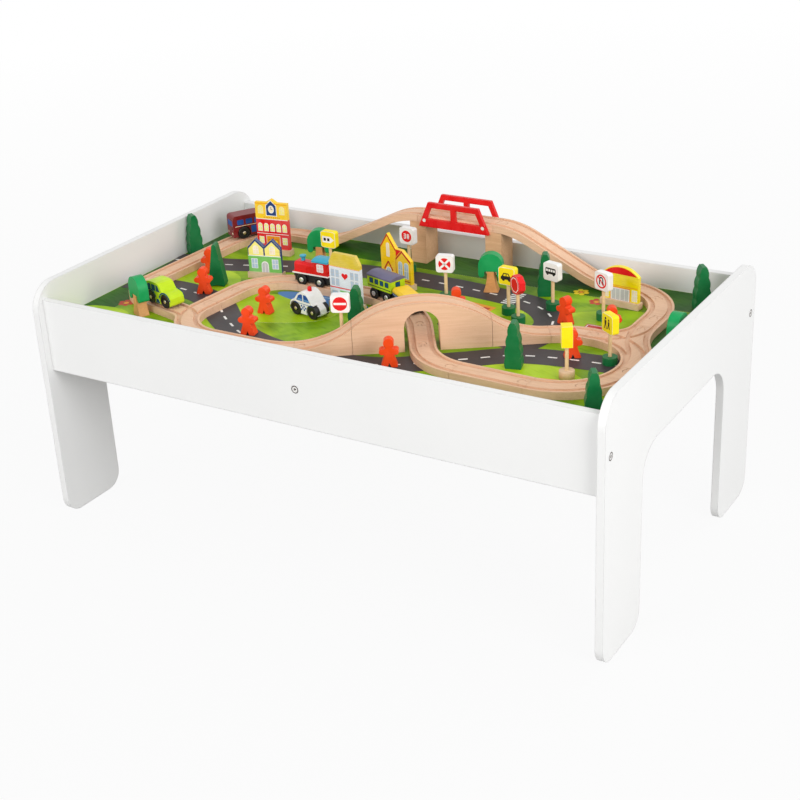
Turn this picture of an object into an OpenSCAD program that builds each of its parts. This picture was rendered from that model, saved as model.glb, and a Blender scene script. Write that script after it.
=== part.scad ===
// Train table: a low play table with a wooden railway, two bridges, a small town and vehicles.
// Millimetres. X runs along the table, Y towards its back and Z up.
// The origin lies on the floor under the middle of the table.

/* [Table] */
// Length over the two end panels
table_l = 985; // [950:5:1060]
// Width of the end panels
table_w = 575; // [560:5:620]
// Height of the end panels
table_h = 408; // [390:1:440]
// Thickness of the end panels
panel_t = 12; // [10:0.5:15]
// Width of each leg of an end panel
leg_w = 128; // [110:1:145]
// Height of the opening between the legs
arch_h = 280; // [240:1:290]
// Corner radius at the top of that opening
arch_r = 50; // [35:1:60]
// Corner radius at the foot of a leg
foot_r = 28; // [18:1:34]
// Corner radius at the top of an end panel
top_r = 44; // [25:1:60]
// Height of the side aprons
apron_h = 121; // [110:1:130]
// Thickness of the side aprons
apron_t = 12; // [11:0.5:15]
// Set-back of an apron from the edge of the end panels
apron_inset = 12; // [8:0.5:18]
// Drop from the top of the end panels to the top of the aprons
apron_drop = 25; // [15:1:32]
// Depth of the tray above the play board
tray_depth = 40; // [34:1:48]
// Thickness of the play board
board_t = 9; // [6:0.5:12]

/* [Frame fixings] */
// Diameter of the furniture bolts
bolt_d = 6; // [5:0.5:6.5]
// Diameter of a bolt's flat head
bolt_head_d = 12; // [10:0.5:14]
// Height of a bolt's flat head
bolt_head_h = 3; // [2:0.25:4]
// Length of a bolt from its head's outer face
bolt_l = 46; // [40:1:55]
// Width across the flats of the key socket in a bolt's head
bolt_key = 4; // [3:0.5:5]
// Diameter of a barrel nut
nut_d = 9; // [8:0.5:10]
// Length of a barrel nut
nut_l = 10; // [8:0.5:10.5]
// Diameter of a wooden dowel
dowel_d = 6; // [5:0.5:7]
// Depth of a dowel in the end panel
dowel_in_panel = 8; // [6:0.5:9]
// Depth of a dowel in the apron
dowel_in_apron = 18; // [14:0.5:24]
// Distance between the two dowels of a corner
dowel_spread = 80; // [70:1:92]
// Width of the brace under the middle of the board
brace_w = 20; // [16:0.5:26]
// Height of that brace
brace_h = 23; // [20:0.5:30]
// Length of a cleat that carries the board
cleat_l = 340; // [300:5:370]
// Side of a cleat's square section
cleat_side = 15; // [12:0.5:18]
// Diameter of a cleat screw
screw_d = 3.5; // [3:0.25:4]
// Diameter of a cleat screw's head
screw_head_d = 7; // [6:0.25:8]
// Height of a cleat screw's head
screw_head_h = 2.5; // [2:0.25:3]
// Depth of a cleat screw in the apron
screw_depth = 8; // [6:0.5:9]

/* [Railway] */
// Width of every track
track_w = 40; // [38:0.5:42]
// Thickness of every track
track_t = 12; // [11:0.5:13]
// Distance between the middles of the two wheel grooves
groove_gauge = 26; // [25:0.25:27]
// Width of a wheel groove
groove_w = 6.5; // [6.25:0.25:7]
// Depth of a wheel groove
groove_d = 3; // [2.5:0.25:3.5]
// Diameter of a connecting peg
peg_d = 11; // [9:0.5:12]
// Width of a peg's neck
peg_neck = 5; // [4:0.5:6]
// Reach of a peg's middle past the end of its track
peg_reach = 11; // [9:0.5:13]
// Longest single track
track_max = 216; // [150:1:220]
// Longest single curve, along its middle
curve_max = 125; // [120:1:160]
// Radius of the rear left corner
rear_left_r = 95; // [85:1:105]
// Radius of the rear right corner
rear_right_r = 105; // [95:1:112]
// Radius of the front left corner of the outer line
left_r = 70; // [60:1:78]
// Radius of the two tight curves of the inner loop
loop_r = 80; // [72:1:88]
// Radius of the wide curve behind the arch bridge
wide_r = 200; // [185:1:210]
// Radius of the curves that lead to the arch bridge
approach_r = 100; // [90:1:106]
// Radius of the left switch's side branch
branch_r = 50; // [45:1:55]
// Radius of the right switch's rear branch
wye_rear_r = 55; // [48:1:60]
// Radius of the right switch's front branch
wye_front_r = 93; // [86:1:98]

/* [Bridges] */
// Length of the arch bridge block
bridge_l = 208; // [196:1:216]
// Height of the arch bridge's crest
bridge_h = 76; // [72:1:82]
// Length of each ramp of the arch bridge
bridge_ramp_l = 87; // [80:1:92]
// Width of the passage through the arch bridge
passage_w = 53; // [50:0.5:58]
// Height of that passage
passage_h = 64; // [60:0.5:66]
// Length of the raised rear span
span_l = 144; // [136:1:152]
// Height of the piers under the rear span
pier_h = 74; // [66:1:80]
// Width of a pier along the track
pier_w = 30; // [26:1:36]
// Length of the level rear track beside the left ramp
level_l = 37; // [34:1:45]
// Length of a side truss at its foot
truss_l = 132; // [120:1:140]
// Height of a side truss
truss_h = 43; // [38:1:50]
// Thickness of a side truss
truss_t = 6; // [5:0.5:8]
// Width of a truss's bars
truss_bar = 9; // [7:0.5:10]
// Diameter of a truss pin
pin_d = 6; // [5:0.5:7]
// Depth of a truss pin in the span
pin_depth = 5; // [4:0.5:5.5]

/* [Scenery] */
// Thickness of the cut-out trees
tree_t = 17; // [14:0.5:20]
// Height of a cypress
cypress_h = 71; // [64:1:78]
// Width of a cypress
cypress_w = 26; // [22:0.5:30]
// Height of the cone tree
cone_h = 74; // [68:1:80]
// Width of the cone tree
cone_w = 29; // [26:0.5:33]
// Height of a round tree's trunk
trunk_h = 36; // [32:0.5:40]
// Width of a round tree's trunk at its foot
trunk_w = 24; // [20:0.5:28]
// Width of that trunk at its neck
trunk_neck = 11; // [9:0.5:13]
// Diameter of a round tree's crown
crown_d = 40; // [36:0.5:44]
// Height of a figure
figure_h = 45; // [42:0.5:49]
// Width of a figure over its hands
figure_w = 29; // [26:0.5:32]
// Thickness of a figure
figure_t = 13; // [11:0.5:15]
// Diameter of a sign's base
sign_base_d = 22; // [20:0.5:24]
// Height of a sign's base
sign_base_h = 12; // [10:0.5:15]
// Diameter of a sign's post
post_d = 5.5; // [5:0.25:6.5]
// Height of a sign's plate above the board
plate_lift = 49; // [44:0.5:54]
// Side of a sign's plate
plate_side = 28.5; // [26:0.5:31]
// Thickness of a sign's plate
plate_t = 11; // [9:0.5:13]
// Corner radius of a sign's plate
plate_r = 4; // [3:0.5:6]
// Width of the traffic light's box
signal_w = 16; // [14:0.5:19]
// Height of the traffic light's box
signal_h = 32; // [28:0.5:38]

/* [Buildings] */
// Thickness of the building blocks
house_t = 7; // [5:0.5:10]
// Depth of the plinth that a building stands on
plinth_t = 15; // [12:0.5:19]
// Height of a plinth
plinth_h = 10; // [8:0.5:13]
// How far a plinth reaches past the building on each side
plinth_lip = 2; // [1:0.5:3]
// Width of the school
school_w = 62; // [56:0.5:66]
// Height of the school
school_h = 101; // [94:1:108]
// Width of the twin house
twin_w = 59; // [54:0.5:63]
// Height of the twin house
twin_h = 69; // [64:0.5:74]
// Width of the clinic over its eaves
clinic_w = 60; // [55:0.5:64]
// Height of the clinic
clinic_h = 92; // [86:1:98]
// Width of the church
church_w = 66; // [60:0.5:70]
// Height of the church
church_h = 90; // [84:1:96]
// Width of the station
station_w = 64; // [58:0.5:67]
// Height of the station
station_h = 66; // [60:0.5:70]

/* [Train] */
// Diameter of the train's wheels
rail_wheel_d = 19; // [18:0.25:20]
// Width of the train's wheels
rail_wheel_t = 3.6; // [3.2:0.1:3.8]
// Diameter of every axle
axle_d = 3; // [2.5:0.25:3.5]
// Distance between the axles of a carriage
wagon_base = 30; // [27:0.5:33]
// Distance between the engine's axles
loco_base = 35; // [32:0.5:38]
// Width of the chassis between the wheels
chassis_w = 18; // [15:0.5:19]
// Height of a chassis
chassis_h = 14; // [12:0.5:15]
// Length of the engine's chassis
loco_l = 70; // [66:0.5:74]
// Width of the engine's cab
cab_w = 27; // [25:0.5:29]
// Length of the engine's cab
cab_l = 24; // [21:0.5:27]
// Height of the engine's cab
cab_h = 24; // [21:0.5:27]
// Width of the engine's boiler
boiler_w = 22; // [20:0.5:24]
// Height of the engine's boiler
boiler_h = 19; // [17:0.5:20.5]
// Thickness of the engine's foot plate
footplate_t = 3; // [2:0.5:4]
// Length of the engine's roof
loco_roof_l = 31; // [28:0.5:34]
// Thickness of the engine's roof
loco_roof_t = 5; // [4:0.5:6]
// Height of the funnel
funnel_h = 9; // [8:0.5:11]
// Diameter of the funnel's stem
funnel_d = 7; // [6:0.5:8]
// Diameter of the funnel's mouth
funnel_mouth_d = 11; // [9:0.5:12]
// Length of a carriage's body
coach_l = 56; // [52:0.5:60]
// Width of a carriage's body
coach_w = 30; // [28:0.5:32]
// Height of the coach's body
coach_h = 19; // [17:0.5:21]
// Thickness of the coach's roof
coach_roof_t = 6; // [5:0.5:7]
// Height of the low wagon's tub
tub_h = 5; // [4:0.5:7]
// Height of the low wagon's cover
cover_h = 7; // [6:0.5:9]
// Diameter of a coupling magnet
magnet_d = 8; // [7:0.5:9]
// Reach of a coupling magnet past its chassis
magnet_reach = 4; // [3:0.5:4.5]

/* [Road vehicles] */
// Diameter of the road vehicles' wheels
road_wheel_d = 22; // [20:0.5:24]
// Width of the road vehicles' wheels
road_wheel_t = 8; // [7:0.25:9]
// Distance between the axles of a road vehicle
road_base = 37; // [35:0.5:39]
// Width of a road vehicle
road_w = 29; // [28:0.5:31]
// Height of a road vehicle's floor
floor_h = 5; // [4:0.5:7]
// Length of the small car
car_l = 63; // [60:0.5:67]
// Height of the small car
car_h = 39; // [36:0.5:42]
// Length of the patrol car
patrol_l = 62; // [60:0.5:66]
// Height of the patrol car
patrol_h = 42; // [39:0.5:45]
// Diameter of the patrol car's beacon
beacon_d = 7; // [6:0.5:8]
// Length of the bus
bus_l = 78; // [74:0.5:84]
// Height of the bus
bus_h = 44; // [41:0.5:48]
// Radius of the bus's upper corners
bus_r = 6; // [4:0.5:8]

/* [View] */
// Piece to draw

/* [Hidden] */

$fn = 64;
overrun = 1;          // how far a cut runs past the face it opens
seam = 0.4;           // gap between two joined tracks
fit = 0.15;           // clearance around a fixed pin, bolt or dowel
peg_fit = 0.5;        // clearance around a peg in its socket
peg_ease = 0.4;       // how far a peg stays inside the faces of its track
trunk_toe = 1.5;      // upright edge at the foot of a trunk
axle_fit = 0.08;      // radial clearance of an axle in its bore
part_gap = 0.4;       // gap between pieces that move past each other
stand_gap = 0.3;      // gap under a wheel
board_gap = 0.5;      // gap around the play board

// Table levels and places
board_l = table_l - 2 * panel_t;
board_w = table_w - 2 * (apron_inset + apron_t);
apron_top = table_h - apron_drop;
apron_mid = apron_top - apron_h / 2;
apron_y = board_w / 2 + apron_t / 2;
board_top = apron_top - tray_depth;
board_under = board_top - board_t;
brace_mid = board_under - brace_h / 2;
nut_x = board_l / 2 + panel_t - bolt_l + nut_d;
nut_y = board_w / 2 + apron_t - bolt_l + nut_d;
cleat_x = board_l / 4;
rail_top = board_top + track_t;

// The ground that the railway needs, as shares of the arch bridge with its ramps.
// It keeps its proportions on a board of any other size
plan_shares = [2.51570681, 1.37958115];
plan_l = plan_shares[0] * (bridge_l + 2 * bridge_ramp_l);
plan_w = plan_shares[1] * (bridge_l + 2 * bridge_ramp_l);
plan_fit = min(board_l / plan_l, board_w / plan_w);
way_l = plan_fit * plan_l;
way_w = plan_fit * plan_w;
function fitted(d) = plan_fit * d;

function dir(a) = [cos(a), sin(a)];
function spot(s) = [s[0] * way_l, s[1] * way_w];

// A route is a list of corners [x, y, radius]; its two ends have no radius
function heading(a, b) = atan2(b[1] - a[1], b[0] - a[0]);
function turned(t) = t > 180 ? t - 360 : t < -180 ? t + 360 : t;
function turn(p, i) = turned(heading(p[i], p[i + 1]) - heading(p[i - 1], p[i]));
function xy(p) = [p[0], p[1]];
function corner(v, r) = [v[0], v[1], r];
function tangent(r, t) = r * tan(abs(t) / 2);
function setback(p, i) = i == 0 || i == len(p) - 1 ? 0 : tangent(p[i][2], turn(p, i));
// An arc is [middle, radius, start angle, swept angle]
function arc_at(p, i) =
    let (h = heading(p[i - 1], p[i]), t = turn(p, i), s = sign(t))
    [xy(p[i]) - setback(p, i) * dir(h) + p[i][2] * dir(h + s * 90), p[i][2], h - s * 90, t];
function arcs(p) = [for (i = [1 : 1 : len(p) - 2]) arc_at(p, i)];
// A line is [start, end]
function line_at(p, i) =
    let (h = heading(p[i], p[i + 1]))
    [xy(p[i]) + setback(p, i) * dir(h), xy(p[i + 1]) - setback(p, i + 1) * dir(h)];
function lines(p) = [for (i = [0 : len(p) - 2]) line_at(p, i)];
function line_l(g) = norm(g[1] - g[0]);
function arc_l(a) = a[1] * abs(a[3]) * PI / 180;
// Place [x, y, heading] at a distance along an arc or a line
function along_arc(a, d) =
    let (s = sign(a[3]), w = a[2] + s * d / a[1] * 180 / PI)
    let (c = a[0] + a[1] * dir(w)) [c[0], c[1], w + s * 90];
function along_line(g, d) =
    let (h = heading(g[0], g[1]), c = g[0] + d * dir(h)) [c[0], c[1], h];
function turned_about(q) = [q[0], q[1], q[2] + 180];

// Hand-chosen places of the lines, as shares of the railway's length and width
front_line_share = -0.421;
rear_line_share = 0.436;
right_line_share = 0.409;
right_edge_share = 0.4506;
left_top_share = -0.435;
left_foot_share = -0.4537;
bridge_turn_shares = [-0.075, front_line_share];
loop_front_shares = [-0.2966, front_line_share];
loop_rear_shares = [-0.2726, 0.059];
loop_right_share = 0.059;
inner_front_share = -0.319;
corner_front_share = -0.336;

bridge_turn = 33.5;      // turn from the front line onto the arch bridge
branch_turn = 14;        // slope of the left switch's side branch
merge_turn = 60;         // angle at which that branch meets the front curve
switch_stub = 27;        // straight end of the left switch's loop leg
branch_stub = 6;         // straight end of its side branch
merge_lap = 0.1;         // how far a switch leg starts inside the one that it leaves
short_l = 25;             // a shorter stretch is no track of its own
line_min = fitted(short_l);
approach_bend = fitted(approach_r);
loop_bend = fitted(loop_r);
branch_curve = fitted(branch_r);
wye_rear_bend = fitted(wye_rear_r);
wye_front_bend = fitted(wye_front_r);
rear_left_bend = fitted(rear_left_r);
rear_right_bend = fitted(rear_right_r);
arch_l = fitted(bridge_l);
arch_ramp_l = fitted(bridge_ramp_l);
span_run = fitted(span_l);
truss_run = fitted(truss_l);
loop_stub = fitted(switch_stub);
side_stub = fitted(branch_stub);

// Arch bridge, from the front line's turn
bridge_way = dir(bridge_turn);
front_turn = spot(bridge_turn_shares);
ramp_start = front_turn + tangent(approach_bend, bridge_turn) * bridge_way;
bridge_mid = ramp_start + (arch_ramp_l + arch_l / 2) * bridge_way;
ramp_end = ramp_start + (2 * arch_ramp_l + arch_l) * bridge_way;
hump_rise = bridge_h - track_t;
hump_turn = 2 * atan(hump_rise / (arch_ramp_l + arch_l / 2));
ramp_arc_r = arch_ramp_l / sin(hump_turn);
dome_r = arch_l / 2 / sin(hump_turn);
exit_turn = ramp_end + tangent(approach_bend, bridge_turn) * bridge_way;
wye_y = exit_turn[1];
wye_left = exit_turn[0] + tangent(approach_bend, bridge_turn);

// Line through the arch bridge, square to it
cross_way = dir(bridge_turn - 90);
function on_cross(y) = bridge_mid + (y - bridge_mid[1]) / cross_way[1] * cross_way;

// Right switch
right_x = right_line_share * way_l;
edge_x = right_edge_share * way_l;
wye_top = wye_y + wye_rear_bend;
wye_foot = wye_y - wye_front_bend;
wye_shift = edge_x - right_x;
wye_span = wye_top - wye_foot;
wye_turn = 2 * atan(wye_shift / wye_span);
wye_side_r = (wye_shift ^ 2 + wye_span ^ 2) / (4 * wye_shift);
// Inner line: right switch, under the arch bridge, round the loop to the left switch
front_right = [edge_x, corner_front_share * way_w];
inner_turn = on_cross(inner_front_share * way_w);
loop_right = on_cross(loop_right_share * way_w);
loop_rear = spot(loop_rear_shares);
loop_front = spot(loop_front_shares);
front_right_turn = turned(heading(front_right, inner_turn) + 90);
front_right_r = (wye_foot - front_right[1]) / tan(abs(front_right_turn) / 2);
loop_way = heading(loop_front, loop_rear);
stem_turn = 180 - loop_way;
stem_set = tangent(loop_bend, stem_turn);
loop_leg_end = loop_front + (stem_set + loop_stub) * dir(loop_way);
inner_line = [[edge_x, wye_foot], corner(front_right, front_right_r), corner(inner_turn, approach_bend),
    corner(loop_right, fitted(wide_r)), corner(loop_rear, loop_bend), loop_leg_end];

// Left switch: the loop leg and a side branch meet in the front line's stem
stem_end = [loop_front[0] + stem_set, loop_front[1]];
merge_at = [stem_end[0] - tangent(loop_bend, merge_turn), stem_end[1]] + merge_lap * dir(90 - merge_turn);
branch_bend = merge_turn - branch_turn;
branch_at = merge_at + (tangent(loop_bend, merge_turn) + tangent(branch_curve, branch_bend))
    * dir(180 - merge_turn);
branch_end = branch_at - (tangent(branch_curve, branch_bend) + side_stub) * dir(-branch_turn);
// Ends of its legs, pointing outwards
loop_leg = concat(loop_leg_end, [loop_way]);
branch_leg = concat(branch_end, [180 - branch_turn]);

// Outer line: left switch, left side, rear left corner, up to the rear ramp
left_foot = [left_foot_share * way_l,
    branch_at[1] + (branch_at[0] - left_foot_share * way_l) * tan(branch_turn)];
rear_left = [left_top_share * way_l, rear_line_share * way_w];
rear_right = [right_x, rear_line_share * way_w];
rear_left_turn = heading(rear_left, left_foot) + 90;
rear_start = rear_left[0] + tangent(rear_left_bend, 90 + rear_left_turn) + fitted(level_l);
rear_end = right_x - rear_right_bend;
outer_line = [branch_end, corner(left_foot, fitted(left_r)), corner(rear_left, rear_left_bend),
    [rear_start, rear_left[1]]];
right_line = [[rear_end, rear_right[1]], corner(rear_right, rear_right_bend), [right_x, wye_top]];
front_line = [stem_end, corner(front_turn, approach_bend), ramp_start];
exit_line = [ramp_end, corner(exit_turn, approach_bend), [wye_left, wye_y]];
plain_lines = [inner_line, outer_line, right_line, front_line, exit_line];

// Rear ramps fill what the span leaves of the rear line
ramp_run = (rear_end - rear_start - span_run) / 2;
span_mid = (rear_start + rear_end) / 2;
steep_share = 1.37;      // how much steeper a ramp's middle is than its mean slope
ramp_turn = steep_share * atan(pier_h / ramp_run);
ramp_r = (ramp_run * sin(ramp_turn) - pier_h * cos(ramp_turn)) / (2 * (1 - cos(ramp_turn)));
ramp_flat = (pier_h - 2 * ramp_r * (1 - cos(ramp_turn))) / sin(ramp_turn);

pier_fall = ramp_r - sqrt(ramp_r ^ 2 - (pier_w / 2) ^ 2) + part_gap;

// Truss outline and windows, as shares of its foot length and height
truss_top_share = 0.72;
truss_drop = 5;          // how far a truss hangs below the span
pin_share = 0.42;        // a pin's distance from the truss's middle, as a share of its length

// Vehicles: places on the railway, as distances along its stretches, in the order of travel
loop_arc = arcs(inner_line)[2];
loop_straight = lines(inner_line)[3];
branch_straight = lines(outer_line)[0];
corner_arc = arcs(outer_line)[1];
loco_run = 85;           // from the start of the loop's straight to the engine's middle
coach_run = 138;         // from the start of the wide curve to the coach's middle
couple_gap = 1;          // gap between two coupling magnets on the curve, along its middle
wagon_pitch = coach_l + 2 * magnet_reach + couple_gap;
car_run = 34;            // from the left switch to the small car's middle
bus_run = 48;            // from the start of the rear left corner to the bus's middle
loco_at = along_line(loop_straight, fitted(loco_run));
coach_at = turned_about(along_arc(loop_arc, fitted(coach_run)));
wagon_at = turned_about(along_arc(loop_arc, fitted(coach_run) - wagon_pitch));
car_at = turned_about(along_line(branch_straight, fitted(car_run)));
bus_at = along_arc(corner_arc, fitted(bus_run));
patrol_shares = [-0.116, -0.125];
patrol_turn = -12;
patrol_at = concat(spot(patrol_shares), [patrol_turn]);

// Heights of the vehicles' wheel contact
rail_level = rail_top - groove_d + stand_gap;
road_level = rail_top + stand_gap;
ground_level = board_top + stand_gap;
chassis_low = rail_wheel_d + part_gap - chassis_h;
chassis_top = chassis_low + chassis_h;
wheel_edge = 0.8;        // bevel of a wheel's rim
wheel_rim = 3;           // width of a wheel's raised rim
wheel_dish = 1.2;        // depth of its dished face
cap_share = 0.34;        // hub cap's diameter as a share of the wheel's
arch_gap = 1.5;          // space around a wheel in its arch
chassis_r = 3;           // rounding of the ends of a chassis

// Trees, figures and signs: [x share, y share, heading] on the play board
cypress_shares = [[-0.484, 0.175, 60], [-0.0104, -0.167, 20], [0.1967, 0.3074, 25],
    [0.283, -0.211, 15], [0.462, -0.4118, 30], [0.4516, 0.3928, 40]];
cone_shares = [[-0.342, -0.038, 20]];
round_shares = [[-0.378, -0.34, -26], [-0.231, 0.2467, 20], [0.106, 0.27, 20], [0.4832, 0.0509, 90]];
figure_shares = [[-0.392, 0.0406, 25], [-0.341, -0.1125, 20], [-0.1892, -0.1698, 5],
    [-0.1609, -0.3258, 10], [0.1106, -0.3482, 30], [0.1041, 0.0558, 30], [0.281, 0.125, -20],
    [0.3633, 0.112, 30], [0.3455, -0.0835, 35]];
square_sign_shares = [[-0.1876, 0.1903, 0], [-0.0699, 0.3184, -5], [-0.0058, -0.2584, 25],
    [0.0573, 0.145, 15], [0.1785, 0.128, -3], [0.2355, 0.212, -13], [0.3272, 0.2017, -22],
    [0.407, -0.082, -35]];
octagon_sign_shares = [[0.2107, 0.0744, -35]];
signal_shares = [[0.3705, -0.2145, 30]];
plate_shares = concat(square_sign_shares, octagon_sign_shares);
sign_shares = concat(plate_shares, signal_shares);
post_seat_share = 0.7;   // how deep a post stands in its base and reaches into its plate
signal_lift = plate_lift;
lobes = 4;               // wavy lobes along a cypress
lobe_depth = 1.6;        // height of those waves
wave_steps = 40;         // points along a cypress's side
taper_share = 0.62;      // how much of its width a cypress loses towards its top
taper_bend = 2.2;        // power of that taper

// Buildings: [x share, y share, heading] of the middle of the front foot
school_shares = [-0.341, 0.262, 9];
twin_shares = [-0.2835, 0.0675, 14];
clinic_shares = [-0.074, -0.053, -4];
church_shares = [-0.0505, 0.1689, -12];
station_shares = [0.329, 0.3045, -6];

// Outlines as shares of the width, from the middle, and of the height
school_outline_shares = [[-0.5, 0], [0.5, 0], [0.5, 0.935], [0.17, 0.935], [0, 1], [-0.17, 0.935],
    [-0.5, 0.935]];
twin_outline_shares = [[-0.5, 0], [0.5, 0], [0.5, 0.78], [0.25, 1], [0, 0.8], [-0.25, 1], [-0.5, 0.78]];
clinic_outline_shares = [[-0.5, 0], [0.5, 0], [0.5, 0.84], [0.363, 1], [-0.363, 1], [-0.5, 0.84]];
church_outline_shares = [[-0.5, 0], [0.5, 0], [0.5, 0.56], [0.21, 0.735], [0.007, 0.735], [-0.27, 1],
    [-0.5, 0.74]];
station_eave_share = 0.79; // height of the eaves as a share of the station's height
figure_leg_shares = [[-0.23, 0.4], [-0.42, 0.04], [-0.38, 0], [-0.1, 0], [0, 0.16], [0.1, 0],
    [0.38, 0], [0.42, 0.04], [0.23, 0.4]];
figure_chest_shares = [[-0.22, 0.36], [0.22, 0.36], [0.3, 0.6], [0.16, 0.7], [-0.16, 0.7], [-0.3, 0.6]];
head_share = 0.34;       // head's diameter as a share of a figure's height
hand_share = 0.2;        // hand's diameter as a share of a figure's height
hand_rise_share = 0.54;  // hands' height as a share of a figure's height
cone_outline_shares = [[-0.5, 0.06], [-0.42, 0], [-0.1, 0.03], [0.1, 0.03], [0.42, 0], [0.5, 0.06],
    [0.13, 0.96], [0.06, 1], [-0.06, 1], [-0.13, 0.96]];
car_outline_shares = [[-0.47, 0.12], [0.47, 0.12], [0.5, 0.2], [0.5, 0.44], [0.45, 0.56], [0.36, 0.62],
    [0.2, 0.66], [0.11, 0.9], [0.05, 0.97], [-0.05, 1], [-0.28, 1], [-0.41, 0.96], [-0.47, 0.86],
    [-0.5, 0.6], [-0.5, 0.2]];
patrol_outline_shares = [[-0.46, 0.12], [0.46, 0.12], [0.5, 0.2], [0.48, 0.38], [0.4, 0.5], [0.3, 0.62],
    [0.18, 0.85], [0.09, 0.96], [0, 1], [-0.1, 0.98], [-0.2, 0.88], [-0.32, 0.66], [-0.45, 0.56],
    [-0.5, 0.4], [-0.5, 0.2]];
beacon_share = 0.02;     // beacon's place along the patrol car
beacon_bury_share = 0.6; // share of the beacon's height sunk in the roof
cover_outline_shares = [[-0.5, 0], [0.5, 0], [0.5, 0.45], [0.38, 1], [-0.38, 1], [-0.5, 0.45]];
boiler_bevel_share = 0.3;
cab_at_share = -0.29;    // middle of the cab along the engine
funnel_at_share = 0.3;   // middle of the funnel along the engine
roof_arch_share = 0.6;   // share of the coach roof's thickness taken by its arch
roof_lip = 0.8;          // overhang of the coach's roof

function scaled(shares, w, h) = [for (s = shares) [s[0] * w, s[1] * h]];

module at(q, z) {
    translate([q[0], q[1], z]) rotate([0, 0, q[2]]) children();
}

// Stands an outline drawn in width and height upright; its back face lies at depth d
module upright(d) {
    rotate([90, 0, 0]) translate([0, 0, -d]) linear_extrude(d) children();
}

// Same, with the thickness shared out on both sides
module slab(t) {
    rotate([90, 0, 0]) linear_extrude(t, center = true) children();
}

module crosswise(d, l) {
    rotate([90, 0, 0]) cylinder(d = d, h = l, center = true);
}

// Table frame

module panel_outline() {
    opening_w = table_w - 2 * leg_w;
    difference() {
        translate([-table_w / 2, 0]) square([table_w, table_h]);
        for (s = [-1, 1]) {
            rounding(s * table_w / 2, table_h, top_r, s, 1);
            rounding(s * table_w / 2, 0, foot_r, s, -1);
            rounding(s * opening_w / 2, 0, foot_r, -s, -1);
        }
        translate([-opening_w / 2, -overrun]) square([opening_w, arch_h - arch_r + overrun]);
        translate([-opening_w / 2 + arch_r, 0]) square([opening_w - 2 * arch_r, arch_h]);
        for (s = [-1, 1]) translate([s * (opening_w / 2 - arch_r), arch_h - arch_r]) circle(arch_r);
    }
}

// Waste beyond a rounded corner whose sides lie towards sx and sy
module rounding(x, y, r, sx, sy) {
    difference() {
        translate([sx > 0 ? x - r : x - overrun, sy > 0 ? y - r : y - overrun])
            square([r + overrun, r + overrun]);
        translate([x - sx * r, y - sy * r]) circle(r);
    }
}

module bolt_places() {
    for (s = [-1, 1]) {
        for (e = [-1, 1])
            translate([e * (board_l / 2 + panel_t), s * apron_y, apron_mid])
                rotate([0, 0, e > 0 ? 180 : 0]) children();
        translate([0, s * (board_w / 2 + apron_t), brace_mid]) rotate([0, 0, -s * 90]) children();
    }
}

// A bolt drawn from its head's outer face along +X; c widens it for its hole
module bolt(c) {
    rotate([0, 90, 0]) {
        cylinder(d = bolt_head_d + 2 * c, h = bolt_head_h);
        cylinder(d = bolt_d + 2 * c, h = bolt_l + c);
    }
}

module bolt_holes() {
    bolt_places() {
        bolt(fit);
        translate([-overrun, 0, 0]) rotate([0, 90, 0]) cylinder(d = bolt_head_d + 2 * fit, h = 2 * overrun);
    }
}

module nut_places() {
    for (s = [-1, 1]) {
        for (e = [-1, 1]) translate([e * nut_x, s * apron_y, apron_mid]) rotate([90, 0, 0]) children();
        translate([0, s * nut_y, brace_mid]) rotate([0, 90, 0]) children();
    }
}

module nut_holes() {
    nut_places() cylinder(d = nut_d + 2 * fit, h = nut_l + 2 * fit, center = true);
}

module dowel_places() {
    for (s = [-1, 1], e = [-1, 1], k = [-1, 1])
        translate([e * board_l / 2, s * apron_y, apron_mid + k * dowel_spread / 2])
            rotate([0, e * 90, 0]) children();
}

module dowel(c) {
    translate([0, 0, -dowel_in_apron - c])
        cylinder(d = dowel_d + 2 * c, h = dowel_in_apron + dowel_in_panel + 2 * c);
}

module end_panel(e) {
    difference() {
        translate([e > 0 ? board_l / 2 : -board_l / 2 - panel_t, 0, 0])
            rotate([90, 0, 90]) linear_extrude(panel_t) panel_outline();
        bolt_holes();
        dowel_places() dowel(fit);
    }
}

module end_panel_left() color("white") end_panel(-1);
module end_panel_right() color("white") end_panel(1);

module apron(s) {
    difference() {
        translate([-board_l / 2, s * apron_y - apron_t / 2, apron_top - apron_h])
            cube([board_l, apron_t, apron_h]);
        bolt_holes();
        nut_holes();
        dowel_places() dowel(fit);
        screw_places() screw(fit);
    }
}

module front_apron() color("white") apron(-1);
module rear_apron() color("white") apron(1);

module play_board() color("yellowgreen")
    translate([-board_l / 2 + board_gap, -board_w / 2 + board_gap, board_under])
        cube([board_l - 2 * board_gap, board_w - 2 * board_gap, board_t]);

module centre_brace() color("white") difference() {
    translate([-brace_w / 2, -board_w / 2, board_under - brace_h]) cube([brace_w, board_w, brace_h]);
    bolt_holes();
    nut_holes();
}

module screw_places() {
    for (s = [-1, 1], e = [-1, 1], k = [-1, 1])
        translate([e * cleat_x + k * cleat_l / 3, s * (board_w / 2 - cleat_side), board_under - cleat_side / 2])
            rotate([0, 0, s * 90]) children();
}

// A screw drawn from its head's face along +X
module screw(c) {
    rotate([0, 90, 0]) {
        cylinder(d1 = screw_head_d + 2 * c, d2 = screw_d + 2 * c, h = screw_head_h);
        cylinder(d = screw_d + 2 * c, h = cleat_side + screw_depth + c);
    }
}

module board_cleats() color("white") difference() {
    for (s = [-1, 1], e = [-1, 1])
        translate([e * cleat_x - cleat_l / 2, s * (board_w / 2 - cleat_side / 2) - cleat_side / 2,
            board_under - cleat_side]) cube([cleat_l, cleat_side, cleat_side]);
    screw_places() screw(fit);
}

module cleat_screws() color("silver") screw_places() screw(0);

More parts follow.
